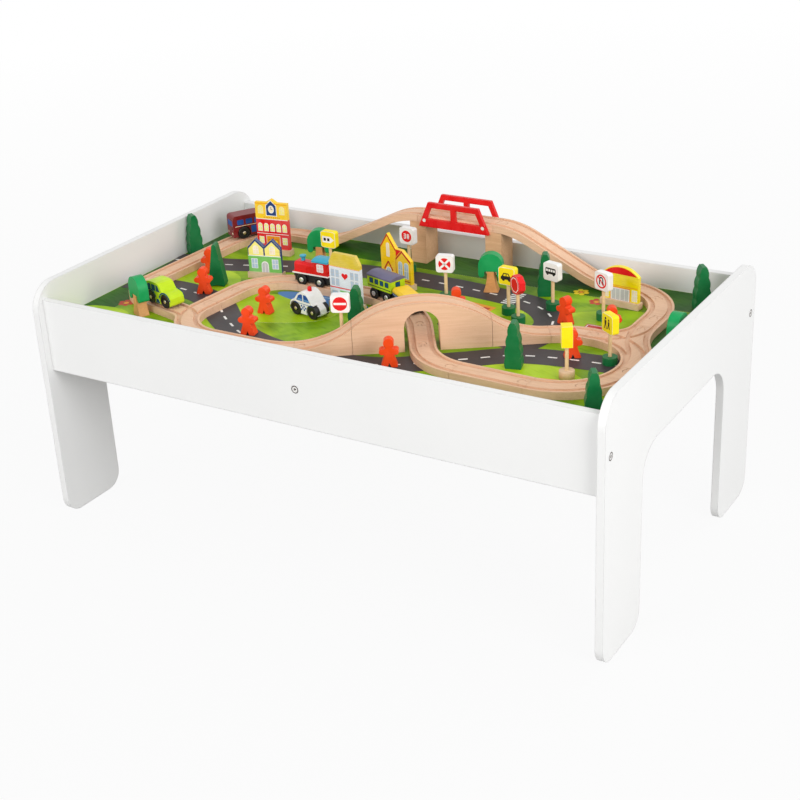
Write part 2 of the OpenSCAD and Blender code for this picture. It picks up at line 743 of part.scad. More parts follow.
module frame_bolts() color("silver") bolt_places() difference() {
    bolt(0);
    translate([-overrun, 0, 0]) rotate([0, 90, 0])
        cylinder(d = bolt_key / cos(30), h = bolt_head_h / 2 + overrun, $fn = 6);
}

module barrel_nuts() color("silver") difference() {
    nut_places() cylinder(d = nut_d, h = nut_l, center = true);
    bolt_holes();
}

module frame_dowels() color("burlywood") dowel_places() dowel(0);

// Railway

module groove_profile() {
    for (s = [-1, 1]) translate([s * groove_gauge / 2 - groove_w / 2, track_t - groove_d])
        square([groove_w, groove_d + overrun]);
}

module plain_profile() {
    translate([-track_w / 2, 0]) square([track_w, track_t]);
}

module track_profile() {
    difference() {
        plain_profile();
        groove_profile();
    }
}

// A connecting peg on the end of a track that runs along +X
module peg() {
    translate([-overrun, -peg_neck / 2, peg_ease])
        cube([peg_reach + overrun, peg_neck, track_t - 2 * peg_ease]);
    translate([peg_reach, 0, peg_ease]) cylinder(d = peg_d, h = track_t - 2 * peg_ease);
}

module socket() {
    translate([0, 0, -overrun]) linear_extrude(2 * track_t + overrun) peg_hole();
}

module peg_hole() {
    translate([-overrun, -peg_neck / 2 - peg_fit]) square([peg_reach + overrun, peg_neck + 2 * peg_fit]);
    translate([peg_reach, 0]) circle(d = peg_d + 2 * peg_fit);
}

// Sweeps a profile along a line or an arc of a route
module line_sweep(g) {
    q = along_line(g, 0);
    at(q, 0) rotate([90, 0, 90]) linear_extrude(line_l(g)) children();
}

module arc_sweep(a) {
    translate([a[0][0], a[0][1], 0]) rotate([0, 0, min(a[2], a[2] + a[3])])
        rotate_extrude(angle = abs(a[3])) translate([a[1], 0]) children();
}

// One track from end to end: socket at its start, peg at its end
module track_ends(first, last) {
    difference() {
        union() {
            children();
            at(last, 0) translate([-seam / 2, 0, 0]) peg();
        }
        at(first, 0) socket();
    }
}

module straight_track(g) {
    h = heading(g[0], g[1]);
    cut = [g[0] + seam / 2 * dir(h), g[1] - seam / 2 * dir(h)];
    track_ends(along_line(g, 0), along_line(g, line_l(g))) line_sweep(cut) track_profile();
}

module curve_track(a) {
    s = sign(a[3]);
    gap = seam / 2 / a[1] * 180 / PI;
    cut = [a[0], a[1], a[2] + s * gap, a[3] - s * 2 * gap];
    track_ends(along_arc(a, 0), along_arc(a, arc_l(a))) arc_sweep(cut) track_profile();
}

module curve_tracks() color("burlywood") translate([0, 0, board_top])
    for (p = plain_lines, a = arcs(p)) {
        n = ceil(arc_l(a) / fitted(curve_max));
        for (k = [0 : n - 1]) curve_track([a[0], a[1], a[2] + a[3] * k / n, a[3] / n]);
    }

module straight_tracks() color("burlywood") translate([0, 0, board_top])
    for (p = plain_lines, g = lines(p)) if (line_l(g) > line_min) {
        n = ceil(line_l(g) / fitted(track_max));
        step = (g[1] - g[0]) / n;
        for (k = [0 : n - 1]) straight_track([g[0] + k * step, g[0] + (k + 1) * step]);
    }

// Flat strips of width w whose middle lies o beside the line of a switch: straight along +X for l,
// and round a bend that leaves the origin along +X, to the left where t is positive
module line_strip(l, o, w) {
    translate([0, o - w / 2]) square([l, w]);
}

module bend_strip(r, t, o, w) {
    mirror([0, t < 0 ? 1 : 0]) translate([0, r]) rotate(-90) intersection() {
        difference() {
            circle(r + o + w / 2, $fn = 180);
            circle(r + o - w / 2, $fn = 180);
        }
        polygon([[0, 0], 2 * r * dir(0), 2 * r * dir(abs(t) / 2), 2 * r * dir(abs(t))]);
    }
}

// A way that starts at q with a straight of l and goes on round a bend
module way_strip(q, l, r, t, o, w) {
    at(q, 0) {
        line_strip(l, o, w);
        translate([l, 0]) bend_strip(r, t, o, w);
    }
}

// Takes the seam off the end of a switch leg, q pointing outwards
module leg_trim(q) {
    at(q, 0) translate([-seam / 2, -track_w / 2 - overrun]) square([seam + overrun, track_w + 2 * overrun]);
}

// A switch from the outlines of its planks and grooves, with pegs at the legs in outs, sockets in ins
module switch_track(outs, ins) {
    difference() {
        union() {
            linear_extrude(track_t) difference() {
                children(0);
                for (q = concat(outs, ins)) leg_trim(q);
                for (q = ins) at(turned_about(q), 0) peg_hole();
            }
            for (q = outs) at(q, 0) translate([-seam / 2, 0, 0]) peg();
        }
        translate([0, 0, track_t - groove_d]) linear_extrude(groove_d + overrun) children(1);
    }
}

module left_ways(o, w) {
    way_strip(turned_about(loop_leg), loop_stub, loop_bend, stem_turn, o, w);
    way_strip(turned_about(branch_leg), side_stub, branch_curve, -branch_bend, o, w);
}

module left_switch() color("burlywood") translate([0, 0, board_top])
    switch_track([concat(stem_end, [0]), branch_leg], [loop_leg]) {
        left_ways(0, track_w);
        for (s = [-1, 1]) left_ways(s * groove_gauge / 2, groove_w);
    }

// The two bends start from the left leg, and the side way swings between their far ends
module right_ways(o, w) {
    wye_mid = [(right_x + edge_x) / 2 + merge_lap, (wye_top + wye_foot) / 2];
    way_strip([wye_left, wye_y, 0], right_x - wye_rear_bend - wye_left, wye_rear_bend, 90, o, w);
    way_strip([wye_left, wye_y - merge_lap, 0], edge_x - wye_front_bend - wye_left, wye_front_bend, -90, o, w);
    for (k = [-90, 90]) at(concat(wye_mid, [wye_turn + k]), 0) bend_strip(wye_side_r, -wye_turn, o, w);
}

module right_switch() color("burlywood") translate([0, 0, board_top])
    switch_track([[edge_x, wye_foot, -90]], [[right_x, wye_top, 90], [wye_left, wye_y, 180]]) {
        right_ways(0, track_w);
        for (s = [-1, 1]) right_ways(s * groove_gauge / 2, groove_w);
    }

// Rear ramp rising along +X from its low end at the origin
module rear_ramp_plank() {
    mid = track_t / 2;
    translate([ramp_r * sin(ramp_turn), 0, mid + ramp_r * (1 - cos(ramp_turn))]) rotate([0, -ramp_turn, 0]) {
        translate([0, 0, -mid]) rotate([90, 0, 90]) linear_extrude(ramp_flat) track_profile();
        ramp_bend() translate([mid, 0]) rotate(90) track_profile();
        translate([ramp_flat, 0, 0]) rotate([0, 180, 0]) ramp_bend()
            translate([-mid, 0]) rotate(-90) track_profile();
    }
}

// Bend that leaves the origin along -X and turns up
module ramp_bend() {
    translate([0, 0, ramp_r]) rotate([90, 0, 0]) mirror([1, 0, 0]) rotate([0, 0, -90])
        rotate_extrude(angle = ramp_turn) translate([ramp_r, 0]) children();
}

module ramp_trim() {
    for (x = [0, ramp_run])
        translate([x - seam / 2, -track_w, -overrun]) cube([seam, 2 * track_w, pier_h + track_t + 2 * overrun]);
}

module rear_ramps() color("burlywood") translate([0, rear_left[1], board_top]) {
    translate([rear_start, 0, 0]) difference() {
        union() {
            difference() {
                rear_ramp_plank();
                ramp_trim();
            }
            translate([ramp_run - seam / 2, 0, pier_h]) peg();
        }
        socket();
    }
    translate([rear_end, 0, 0]) difference() {
        union() {
            difference() {
                mirror([1, 0, 0]) rear_ramp_plank();
                mirror([1, 0, 0]) ramp_trim();
            }
            translate([-seam / 2, 0, 0]) peg();
        }
        translate([-ramp_run, 0, pier_h]) socket();
    }
}

module bridge_span() color("burlywood") translate([span_mid - span_run / 2, rear_left[1], board_top + pier_h])
    difference() {
        straight_track([[0, 0], [span_run, 0]]);
        translate([span_run / 2, 0, 0]) pin_places() crosswise(pin_d + 2 * fit, 2 * (pin_depth + fit));
    }

// A pier's top slopes under the ramp, which leaves the span in a curve
module bridge_piers() color("burlywood")
    for (s = [-1, 1]) translate([span_mid + s * span_run / 2, rear_left[1], board_top])
        slab(track_w) polygon([[-pier_w / 2, 0], [pier_w / 2, 0],
            [pier_w / 2, pier_h - (s > 0 ? pier_fall : 0)],
            [0, pier_h], [-pier_w / 2, pier_h - (s > 0 ? 0 : pier_fall)]]);

// Where a pin crosses the face between a truss and the span, with +Y pointing outwards
module pin_places() {
    for (x = [-1, 1], y = [0, 1]) mirror([0, y, 0])
        translate([x * pin_share * truss_run, track_w / 2, track_t / 2]) children();
}

module truss_outline() {
    top_l = truss_top_share * truss_run;
    slope = (truss_run - top_l) / 2 / truss_h;
    low = truss_bar + truss_drop;
    high = truss_h - truss_bar;
    low_x = truss_run / 2 - slope * low - truss_bar;
    high_x = truss_run / 2 - slope * high - truss_bar;
    difference() {
        polygon([[-truss_run / 2, 0], [truss_run / 2, 0], [top_l / 2, truss_h], [-top_l / 2, truss_h]]);
        for (s = [-1, 1])
            polygon([[s * truss_bar / 2, low], [s * low_x, low], [s * high_x, high],
                [s * truss_bar / 2, high]]);
    }
}

module on_span() {
    translate([span_mid, rear_left[1], board_top + pier_h]) children();
}

module bridge_trusses() color("crimson") on_span() difference() {
    for (s = [-1, 1]) translate([0, s * (track_w + truss_t) / 2, -truss_drop]) slab(truss_t) truss_outline();
    pin_places() crosswise(pin_d + 2 * fit, 2 * (truss_t + overrun));
}

module truss_pins() color("white") on_span() pin_places()
    translate([0, (truss_t - pin_depth) / 2, 0]) crosswise(pin_d, truss_t + pin_depth);

// Arch bridge and its ramps, drawn along +X from the low end of the first ramp

module ramp_side() {
    difference() {
        square([arch_ramp_l, bridge_h]);
        translate([0, track_t + ramp_arc_r]) circle(ramp_arc_r, $fn = 180);
    }
}

module bridge_side() {
    difference() {
        intersection() {
            square([arch_l, bridge_h + overrun]);
            translate([arch_l / 2, bridge_h - dome_r]) circle(dome_r, $fn = 180);
        }
        translate([arch_l / 2 - passage_w / 2, -overrun])
            square([passage_w, passage_h - passage_w / 2 + overrun]);
        translate([arch_l / 2, passage_h - passage_w / 2]) circle(d = passage_w);
    }
}

module both_grooves() {
    for (s = [-1, 1]) translate([0, s * groove_gauge / 2, 0]) slab(groove_w) children();
}

module ramp_block() {
    difference() {
        slab(track_w) ramp_side();
        both_grooves() translate([0, track_t + ramp_arc_r]) circle(ramp_arc_r + groove_d, $fn = 180);
    }
}

module seam_trim(l) {
    for (x = [0, l]) translate([x - seam / 2, -track_w, -overrun])
        cube([seam, 2 * track_w, bridge_h + 2 * overrun]);
}

module on_bridge() {
    at([ramp_start[0], ramp_start[1], bridge_turn], board_top) children();
}

module bridge_piece(l) {
    difference() {
        union() {
            difference() {
                children();
                seam_trim(l);
            }
            translate([l - seam / 2, 0, 0]) peg();
        }
        socket();
    }
}

module bridge_ramps() color("burlywood") on_bridge() {
    bridge_piece(arch_ramp_l) ramp_block();
    translate([arch_ramp_l + arch_l, 0, 0]) bridge_piece(arch_ramp_l)
        translate([arch_ramp_l, 0, 0]) mirror([1, 0, 0]) ramp_block();
}

module arch_bridge() color("burlywood") on_bridge() translate([arch_ramp_l, 0, 0])
    bridge_piece(arch_l) difference() {
        slab(track_w) bridge_side();
        both_grooves() difference() {
            translate([-overrun, 0]) square([arch_l + 2 * overrun, bridge_h + overrun]);
            translate([arch_l / 2, bridge_h - dome_r]) circle(dome_r - groove_d, $fn = 180);
        }
    }

// Scenery

module on_board(places) {
    for (s = places) at(concat(spot(s), [s[2]]), board_top) children();
}

function cypress_half(t) =
    cypress_w / 2 * (1 - taper_share * t ^ taper_bend) - lobe_depth * (1 - abs(sin(180 * lobes * t)));

module cypress_outline() {
    side = [for (k = [0 : wave_steps]) let (t = k / wave_steps) [cypress_half(t), t * cypress_h]];
    polygon(concat(side, [for (k = [wave_steps : -1 : 0]) [-side[k][0], side[k][1]]]));
}

module tall_trees() color("darkgreen") {
    on_board(cypress_shares) slab(tree_t) cypress_outline();
    on_board(cone_shares) slab(tree_t) polygon(scaled(cone_outline_shares, cone_w, cone_h));
}

module trunk_outline() {
    flare = (trunk_w - trunk_neck) / 2;
    bend_r = (flare ^ 2 + (trunk_h - trunk_toe) ^ 2) / (2 * flare);
    difference() {
        translate([-trunk_w / 2, 0]) square([trunk_w, trunk_h]);
        for (s = [-1, 1]) translate([s * (trunk_neck / 2 + bend_r), trunk_h]) circle(bend_r, $fn = 120);
    }
}

module tree_trunks() color("peru") on_board(round_shares) slab(tree_t) trunk_outline();

module tree_crowns() color("seagreen") on_board(round_shares) slab(tree_t) difference() {
    union() {
        translate([0, trunk_h + crown_d / 4]) circle(d = crown_d);
        translate([-crown_d / 2, trunk_h - crown_d / 8]) square([crown_d, crown_d * 3 / 8]);
        for (s = [-1, 1]) translate([s * crown_d * 3 / 8, trunk_h - crown_d / 8]) circle(d = crown_d / 4);
    }
    translate([-crown_d / 4, 0]) square([crown_d / 2, trunk_h]);
}

module figure_outline() {
    hand_d = hand_share * figure_h;
    head_d = head_share * figure_h;
    hand_z = hand_rise_share * figure_h;
    hand_x = (figure_w - hand_d) / 2;
    polygon(scaled(figure_leg_shares, figure_w, figure_h));
    polygon(scaled(figure_chest_shares, figure_w, figure_h));
    translate([-hand_x, hand_z - hand_d / 2]) square([2 * hand_x, hand_d]);
    for (s = [-1, 1]) translate([s * hand_x, hand_z]) circle(d = hand_d);
    translate([0, figure_h - head_d / 2]) circle(d = head_d);
}

module figures() color("orangered") on_board(figure_shares) slab(figure_t) figure_outline();

post_seat = post_seat_share * sign_base_h;

module sign_bases() color("darkgreen") on_board(sign_shares) difference() {
    cylinder(d = sign_base_d, h = sign_base_h);
    translate([0, 0, sign_base_h - post_seat]) cylinder(d = post_d + 2 * fit, h = sign_base_h);
}

module sign_posts() color("wheat") on_board(sign_shares)
    translate([0, 0, sign_base_h - post_seat])
        cylinder(d = post_d, h = plate_lift + 2 * post_seat - sign_base_h);

module post_hole() {
    translate([0, 0, -overrun]) cylinder(d = post_d + 2 * fit, h = post_seat + overrun);
}

module square_plate() {
    inner = plate_side - 2 * plate_r;
    for (s = [[plate_side, inner], [inner, plate_side]])
        translate([-s[0] / 2, plate_side / 2 - s[1] / 2]) square(s);
    for (x = [-1, 1], y = [-1, 1]) translate([x * inner / 2, plate_side / 2 + y * inner / 2]) circle(plate_r);
}

module sign_plates() color("white") {
    on_board(square_sign_shares) translate([0, 0, plate_lift]) difference() {
        slab(plate_t) square_plate();
        post_hole();
    }
    on_board(octagon_sign_shares) translate([0, 0, plate_lift]) difference() {
        translate([0, 0, plate_side / 2]) rotate([90, 0, 0]) rotate([0, 0, 22.5])
            cylinder(d = plate_side / cos(22.5), h = plate_t, center = true, $fn = 8);
        post_hole();
    }
    on_board(signal_shares) translate([0, 0, plate_lift]) difference() {
        slab(signal_w) translate([-signal_w / 2, 0]) square([signal_w, signal_h]);
        post_hole();
    }
}

// Buildings, with their front face towards the viewer

module building(q, w) {
    at(concat(spot(q), [q[2]]), board_top + stand_gap) {
        translate([0, (plinth_t - house_t) / 2, 0]) upright(house_t) children();
        translate([-w / 2 - plinth_lip, 0, 0]) cube([w + 2 * plinth_lip, plinth_t, plinth_h]);
    }
}

module school() color("gold") building(school_shares, school_w)
    polygon(scaled(school_outline_shares, school_w, school_h));

module twin_house() color("palegreen") building(twin_shares, twin_w)
    polygon(scaled(twin_outline_shares, twin_w, twin_h));

module clinic() color("white") building(clinic_shares, clinic_w)
    polygon(scaled(clinic_outline_shares, clinic_w, clinic_h));

module church() color("gold") building(church_shares, church_w)
    polygon(scaled(church_outline_shares, church_w, church_h));

module station() color("gold") building(station_shares, station_w) {
    rise = station_h * (1 - station_eave_share);
    roof_r = (station_w ^ 2 / 4 + rise ^ 2) / (2 * rise);
    intersection() {
        translate([-station_w / 2, 0]) square([station_w, station_h + overrun]);
        translate([0, station_h - roof_r]) circle(roof_r, $fn = 120);
    }
}

// Wheels and axles, axle along Y, middle of the axle at the origin

module wheel(d, t) {
    cap = cap_share * d;
    rotate_extrude() polygon([[0, 0], [d / 2 - wheel_edge, 0], [d / 2, wheel_edge], [d / 2, t - wheel_edge],
        [d / 2 - wheel_edge, t], [d / 2 - wheel_rim, t], [d / 2 - wheel_rim, t - wheel_dish],
        [cap / 2, t - wheel_dish], [cap / 2, t], [0, t]]);
}

module wheel_pair(d, t, gauge) {
    crosswise(axle_d, gauge);
    for (s = [-1, 1]) translate([0, s * (gauge - t) / 2, 0]) rotate([-s * 90, 0, 0]) wheel(d, t);
}

module rail_axle() wheel_pair(rail_wheel_d, rail_wheel_t, groove_gauge);
module road_axle() wheel_pair(road_wheel_d, road_wheel_t, road_w - road_wheel_t);

module axle_bores(base, r) {
    for (s = [-1, 1]) translate([s * base / 2, 0, r]) crosswise(axle_d + 2 * axle_fit, road_w + overrun);
}

// Train, each vehicle drawn along +X with its wheels standing at height zero

module on_rails(q) {
    at(q, rail_level) children();
}

module chassis(l, base) {
    difference() {
        union() {
            translate([-l / 2 + chassis_r, -chassis_w / 2, chassis_low])
                cube([l - 2 * chassis_r, chassis_w, chassis_h]);
            for (s = [-1, 1]) translate([s * (l / 2 - chassis_r), 0, chassis_low]) {
                translate([-chassis_r, -chassis_w / 2 + chassis_r, 0])
                    cube([2 * chassis_r, chassis_w - 2 * chassis_r, chassis_h]);
                for (y = [-1, 1]) translate([0, y * (chassis_w / 2 - chassis_r), 0])
                    cylinder(r = chassis_r, h = chassis_h);
            }
            for (s = [-1, 1]) translate([s * l / 2, 0, chassis_low + chassis_h / 2]) rotate([0, s * 90, 0])
                translate([0, 0, -chassis_r]) cylinder(d = magnet_d, h = chassis_r + magnet_reach);
        }
        axle_bores(base, rail_wheel_d / 2);
    }
}

module loco_chassis() color("black") on_rails(loco_at) chassis(loco_l, loco_base);

module loco_body() color("red") on_rails(loco_at) translate([0, 0, chassis_top]) {
    bevel = boiler_bevel_share * boiler_h;
    translate([-loco_l / 2, -cab_w / 2, 0]) cube([loco_l, cab_w, footplate_t]);
    translate([cab_at_share * loco_l - cab_l / 2, -cab_w / 2, 0]) cube([cab_l, cab_w, cab_h]);
    translate([cab_at_share * loco_l, 0, 0]) rotate([90, 0, 90])
        linear_extrude(loco_l / 2 - chassis_r - cab_at_share * loco_l) {
            translate([-boiler_w / 2, 0]) square([boiler_w, boiler_h - bevel]);
            translate([-boiler_w / 2 + bevel, 0]) square([boiler_w - 2 * bevel, boiler_h]);
            for (s = [-1, 1]) translate([s * (boiler_w / 2 - bevel), boiler_h - bevel]) circle(bevel);
        }
}

module loco_roof() color("deepskyblue") on_rails(loco_at)
    translate([cab_at_share * loco_l, 0, chassis_top + cab_h]) {
        translate([-loco_roof_l / 2, -coach_w / 2, 0]) cube([loco_roof_l, coach_w, loco_roof_t / 2]);
        translate([-loco_roof_l / 2, 0, 0]) rotate([90, 0, 90]) linear_extrude(loco_roof_l)
            roof_arch(coach_w, loco_roof_t, loco_roof_t / 2);
    }

module loco_funnel() color("deepskyblue") on_rails(loco_at)
    translate([funnel_at_share * loco_l, 0, chassis_top + boiler_h]) {
        cylinder(d = funnel_d, h = funnel_h / 2);
        translate([0, 0, funnel_h / 2]) cylinder(d1 = funnel_d, d2 = funnel_mouth_d, h = funnel_h / 3);
        translate([0, 0, funnel_h * 5 / 6]) cylinder(d = funnel_mouth_d, h = funnel_h / 6);
    }

module loco_axle_front() color("dimgray") on_rails(loco_at)
    translate([loco_base / 2, 0, rail_wheel_d / 2]) rail_axle();
module loco_axle_rear() color("dimgray") on_rails(loco_at)
    translate([-loco_base / 2, 0, rail_wheel_d / 2]) rail_axle();

// Roof outline of width w and height h whose arch starts at height e
module roof_arch(w, h, e) {
    rise = h - e;
    r = (w ^ 2 / 4 + rise ^ 2) / (2 * rise);
    intersection() {
        translate([-w / 2, 0]) square([w, h + overrun]);
        translate([0, h - r]) circle(r, $fn = 120);
    }
}

module coach_chassis() color("black") on_rails(coach_at) chassis(coach_l, wagon_base);

module coach_body() color("greenyellow") on_rails(coach_at)
    translate([-coach_l / 2, -coach_w / 2, chassis_top]) cube([coach_l, coach_w, coach_h]);

module coach_roof() color("slategray") on_rails(coach_at)
    translate([-coach_l / 2 - roof_lip, 0, chassis_top + coach_h]) rotate([90, 0, 90])
        linear_extrude(coach_l + 2 * roof_lip)
            roof_arch(coach_w + 2 * roof_lip, coach_roof_t, (1 - roof_arch_share) * coach_roof_t);

module coach_axle_front() color("dimgray") on_rails(coach_at)
    translate([wagon_base / 2, 0, rail_wheel_d / 2]) rail_axle();
module coach_axle_rear() color("dimgray") on_rails(coach_at)
    translate([-wagon_base / 2, 0, rail_wheel_d / 2]) rail_axle();

module wagon_chassis() color("black") on_rails(wagon_at) chassis(coach_l, wagon_base);

module wagon_tub() color("royalblue") on_rails(wagon_at)
    translate([-coach_l / 2, -coach_w / 2, chassis_top]) cube([coach_l, coach_w, tub_h]);

module wagon_cover() color("gold") on_rails(wagon_at)
    translate([-coach_l / 2, 0, chassis_top + tub_h]) rotate([90, 0, 90])
        linear_extrude(coach_l) polygon(scaled(cover_outline_shares, coach_w, cover_h));

module wagon_axle_front() color("dimgray") on_rails(wagon_at)
    translate([wagon_base / 2, 0, rail_wheel_d / 2]) rail_axle();
module wagon_axle_rear() color("dimgray") on_rails(wagon_at)
    translate([-wagon_base / 2, 0, rail_wheel_d / 2]) rail_axle();

// Road vehicles, drawn along +X with their wheels standing at height zero

module road_body() {
    difference() {
        slab(road_w) children();
        for (x = [-1, 1], y = [-1, 1])
            translate([x * road_base / 2, y * (road_w / 2 - road_wheel_t / 2), road_wheel_d / 2])
                crosswise(road_wheel_d + 2 * arch_gap, road_wheel_t + 2 * part_gap);
        axle_bores(road_base, road_wheel_d / 2);
    }
}

module bus_side() {
    translate([-bus_l / 2, floor_h]) square([bus_l, bus_h - floor_h - bus_r]);
    translate([-bus_l / 2 + bus_r, floor_h]) square([bus_l - 2 * bus_r, bus_h - floor_h]);
    for (s = [-1, 1]) translate([s * (bus_l / 2 - bus_r), bus_h - bus_r]) circle(bus_r);
}

module bus_body() color("firebrick") at(bus_at, road_level) road_body() bus_side();
module bus_axle_front() color("dimgray") at(bus_at, road_level)
    translate([road_base / 2, 0, road_wheel_d / 2]) road_axle();
module bus_axle_rear() color("dimgray") at(bus_at, road_level)
    translate([-road_base / 2, 0, road_wheel_d / 2]) road_axle();

module car_body() color("greenyellow") at(car_at, road_level)
    road_body() polygon(scaled(car_outline_shares, car_l, car_h));
module car_axle_front() color("dimgray") at(car_at, road_level)
    translate([road_base / 2, 0, road_wheel_d / 2]) road_axle();
module car_axle_rear() color("dimgray") at(car_at, road_level)
    translate([-road_base / 2, 0, road_wheel_d / 2]) road_axle();

module on_roof(c) {
    translate([beacon_share * patrol_l, 0, patrol_h - beacon_bury_share * beacon_d])
        cylinder(d = beacon_d + 2 * c, h = beacon_d);
}

module patrol_body() color("white") at(patrol_at, ground_level) difference() {
    road_body() polygon(scaled(patrol_outline_shares, patrol_l, patrol_h));
    on_roof(fit);
}

module patrol_beacon() color("red") at(patrol_at, ground_level) {
    on_roof(0);
    translate([beacon_share * patrol_l, 0, patrol_h + (1 - beacon_bury_share) * beacon_d]) difference() {
        sphere(d = beacon_d);
        translate([-beacon_d, -beacon_d, -2 * beacon_d]) cube([2 * beacon_d, 2 * beacon_d, 2 * beacon_d]);
    }
}

module patrol_axle_front() color("dimgray") at(patrol_at, ground_level)
    translate([road_base / 2, 0, road_wheel_d / 2]) road_axle();
module patrol_axle_rear() color("dimgray") at(patrol_at, ground_level)
    translate([-road_base / 2, 0, road_wheel_d / 2]) road_axle();

end_panel_left();
end_panel_right();
front_apron();
rear_apron();
play_board();
board_cleats();
cleat_screws();
centre_brace();
frame_bolts();
barrel_nuts();
frame_dowels();
curve_tracks();
straight_tracks();
left_switch();
right_switch();
rear_ramps();
bridge_span();
bridge_piers();
bridge_trusses();
truss_pins();
bridge_ramps();
arch_bridge();
tall_trees();
tree_crowns();
tree_trunks();
figures();
sign_bases();
sign_posts();
sign_plates();
school();
twin_house();
clinic();
church();
station();
loco_chassis();
loco_body();
loco_roof();
loco_funnel();
loco_axle_front();
loco_axle_rear();
coach_chassis();
coach_body();
coach_roof();
coach_axle_front();
coach_axle_rear();
wagon_chassis();
wagon_tub();
wagon_cover();
wagon_axle_front();
wagon_axle_rear();
bus_body();
bus_axle_front();
bus_axle_rear();
car_body();
car_axle_front();
car_axle_rear();
patrol_body();
patrol_beacon();
patrol_axle_front();
patrol_axle_rear();
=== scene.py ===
import math
import random

import bmesh
import bpy
from mathutils import Matrix, Vector


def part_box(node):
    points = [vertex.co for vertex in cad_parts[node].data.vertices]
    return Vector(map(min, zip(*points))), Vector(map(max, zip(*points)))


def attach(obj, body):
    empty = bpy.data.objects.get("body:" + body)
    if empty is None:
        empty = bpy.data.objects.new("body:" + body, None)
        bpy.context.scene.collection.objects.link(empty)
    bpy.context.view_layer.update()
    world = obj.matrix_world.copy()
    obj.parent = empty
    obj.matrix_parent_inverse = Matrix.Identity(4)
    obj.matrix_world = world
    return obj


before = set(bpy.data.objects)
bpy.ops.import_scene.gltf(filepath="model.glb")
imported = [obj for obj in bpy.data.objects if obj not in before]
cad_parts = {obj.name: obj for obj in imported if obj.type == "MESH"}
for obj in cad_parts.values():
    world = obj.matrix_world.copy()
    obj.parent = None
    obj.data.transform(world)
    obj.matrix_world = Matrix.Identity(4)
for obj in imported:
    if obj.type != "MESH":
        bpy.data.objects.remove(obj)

for name in ("Cube", "Light", "Camera"):
    if name in bpy.data.objects:
        bpy.data.objects.remove(bpy.data.objects[name])
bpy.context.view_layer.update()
scene = bpy.context.scene
scene.view_settings.view_transform = "Standard"

MM = 0.001  # shapes are given in millimetres; camera, lamps, floor and the depth of bumps in metres
UP = Vector((0, 0, 1))
PURE_WHITE = (1.0, 1.0, 1.0)


def new_object(name, data):
    obj = bpy.data.objects.new(name, data)
    scene.collection.objects.link(obj)
    return obj


# Places that come from the frame

def box(node):
    """Low and high corner of a node."""
    low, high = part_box(node)
    return low / MM, high / MM


def middle(node):
    low, high = box(node)
    return (low + high) / 2


def shells(node):
    """Low and high corner of each separate solid in a node, from left to right."""
    bm = bmesh.new()
    bm.from_mesh(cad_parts[node].data)
    bmesh.ops.remove_doubles(bm, verts=bm.verts, dist=1e-6)
    left, boxes = set(bm.verts), []
    while left:
        todo, found = [left.pop()], []
        while todo:
            vert = todo.pop()
            found.append(vert.co / MM)
            near = {e.other_vert(vert) for e in vert.link_edges} & left
            left -= near
            todo.extend(near)
        boxes.append(tuple(Vector([pick(p[c] for p in found) for c in range(3)]) for pick in (min, max)))
    bm.free()
    return sorted(boxes, key=lambda corners: tuple(corners[0]))


def extent(corners):
    return corners[1] - corners[0]


def reach(node, centre, way, above=0.0):
    """How far a node goes from a place along a direction, in what lies higher than above."""
    places = [v.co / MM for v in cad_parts[node].data.vertices]
    return max((p - centre).dot(way) for p in places if p.z > above)


BOARD = box("play_board")[1].z  # top of the play board
GROUND = box("school")[0].z  # height at which buildings stand
BORDER = 1.0  # bare strip around the printed board
EDGE_X, EDGE_Y = (c - BORDER for c in box("play_board")[1][:2])
# headings in degrees, which a box doesn't tell
HOUSE_HEADINGS = {"school": 9.0, "twin_house": 14.0, "clinic": -4.0, "church": -12.0, "station": -6.0}


# Camera, light and floor

SENSOR, LENS, CLIP_END = 36.0, 67.73, 60.0  # sensor and lens in millimetres
CAMERA_PLACE = (1.1831, -1.8705, 1.2318)
CAMERA_TURN = Vector((1.9676, 0.5134, -0.3891))  # axis times angle, fitted to the table in the photo
AIM = Vector((0.0, 0.0, 0.3))
LAMPS = {  # place, width, watts
    "key": ((-0.8, -3.4, 1.8), 2.4, 55.0),
    "fill": ((3.2, -1.4, 1.7), 2.2, 70.0),
    "back": ((1.6, 3.0, 2.4), 2.4, 30.0),
}
SKY_LIGHT, SHOWN_LIGHT = 0.68, 1.0  # on the object, and as the background shows
FLOOR_HALF, FLOOR_DROP, FLOOR_GREY = 14.0, 0.0006, 0.5
FADE_NEAR, FADE_FAR, NEAR_SHARE = 1.0, 4.0, 0.93  # the floor's share of plain white grows with distance


def feed(tree, node, inputs):
    """Gives a node's sockets, by name or number, a value each or the socket that it comes from."""
    for key, value in inputs.items():
        socket = node.inputs[key]
        if isinstance(value, bpy.types.NodeSocket):
            tree.links.new(value, socket)
        else:
            socket.default_value = (*value, 1.0) if socket.type == "RGBA" else value


def add_node(tree, kind, inputs=None, **settings):
    node = tree.nodes.new("ShaderNode" + kind)
    for key, value in settings.items():
        setattr(node, key, value)
    feed(tree, node, inputs or {})
    return node


def seen_rays(tree):
    """1 for rays that show the background: straight from the camera, off a shiny face or through glass."""
    rays = add_node(tree, "LightPath").outputs
    seen = rays["Is Camera Ray"]
    for kind in ("Is Glossy Ray", "Is Transmission Ray"):
        seen = add_node(tree, "Math", {0: seen, 1: rays[kind]}, operation="MAXIMUM").outputs[0]
    return seen


def make_camera():
    right, down, ahead = Matrix.Rotation(CAMERA_TURN.length, 3, CAMERA_TURN.normalized())
    data = bpy.data.cameras.new("photo_camera")
    data.sensor_width, data.lens, data.clip_end = SENSOR, LENS, CLIP_END
    pose = Matrix((right, -down, -ahead)).transposed().to_4x4()
    pose.translation = CAMERA_PLACE
    scene.camera = new_object("photo_camera", data)
    scene.camera.matrix_world = pose


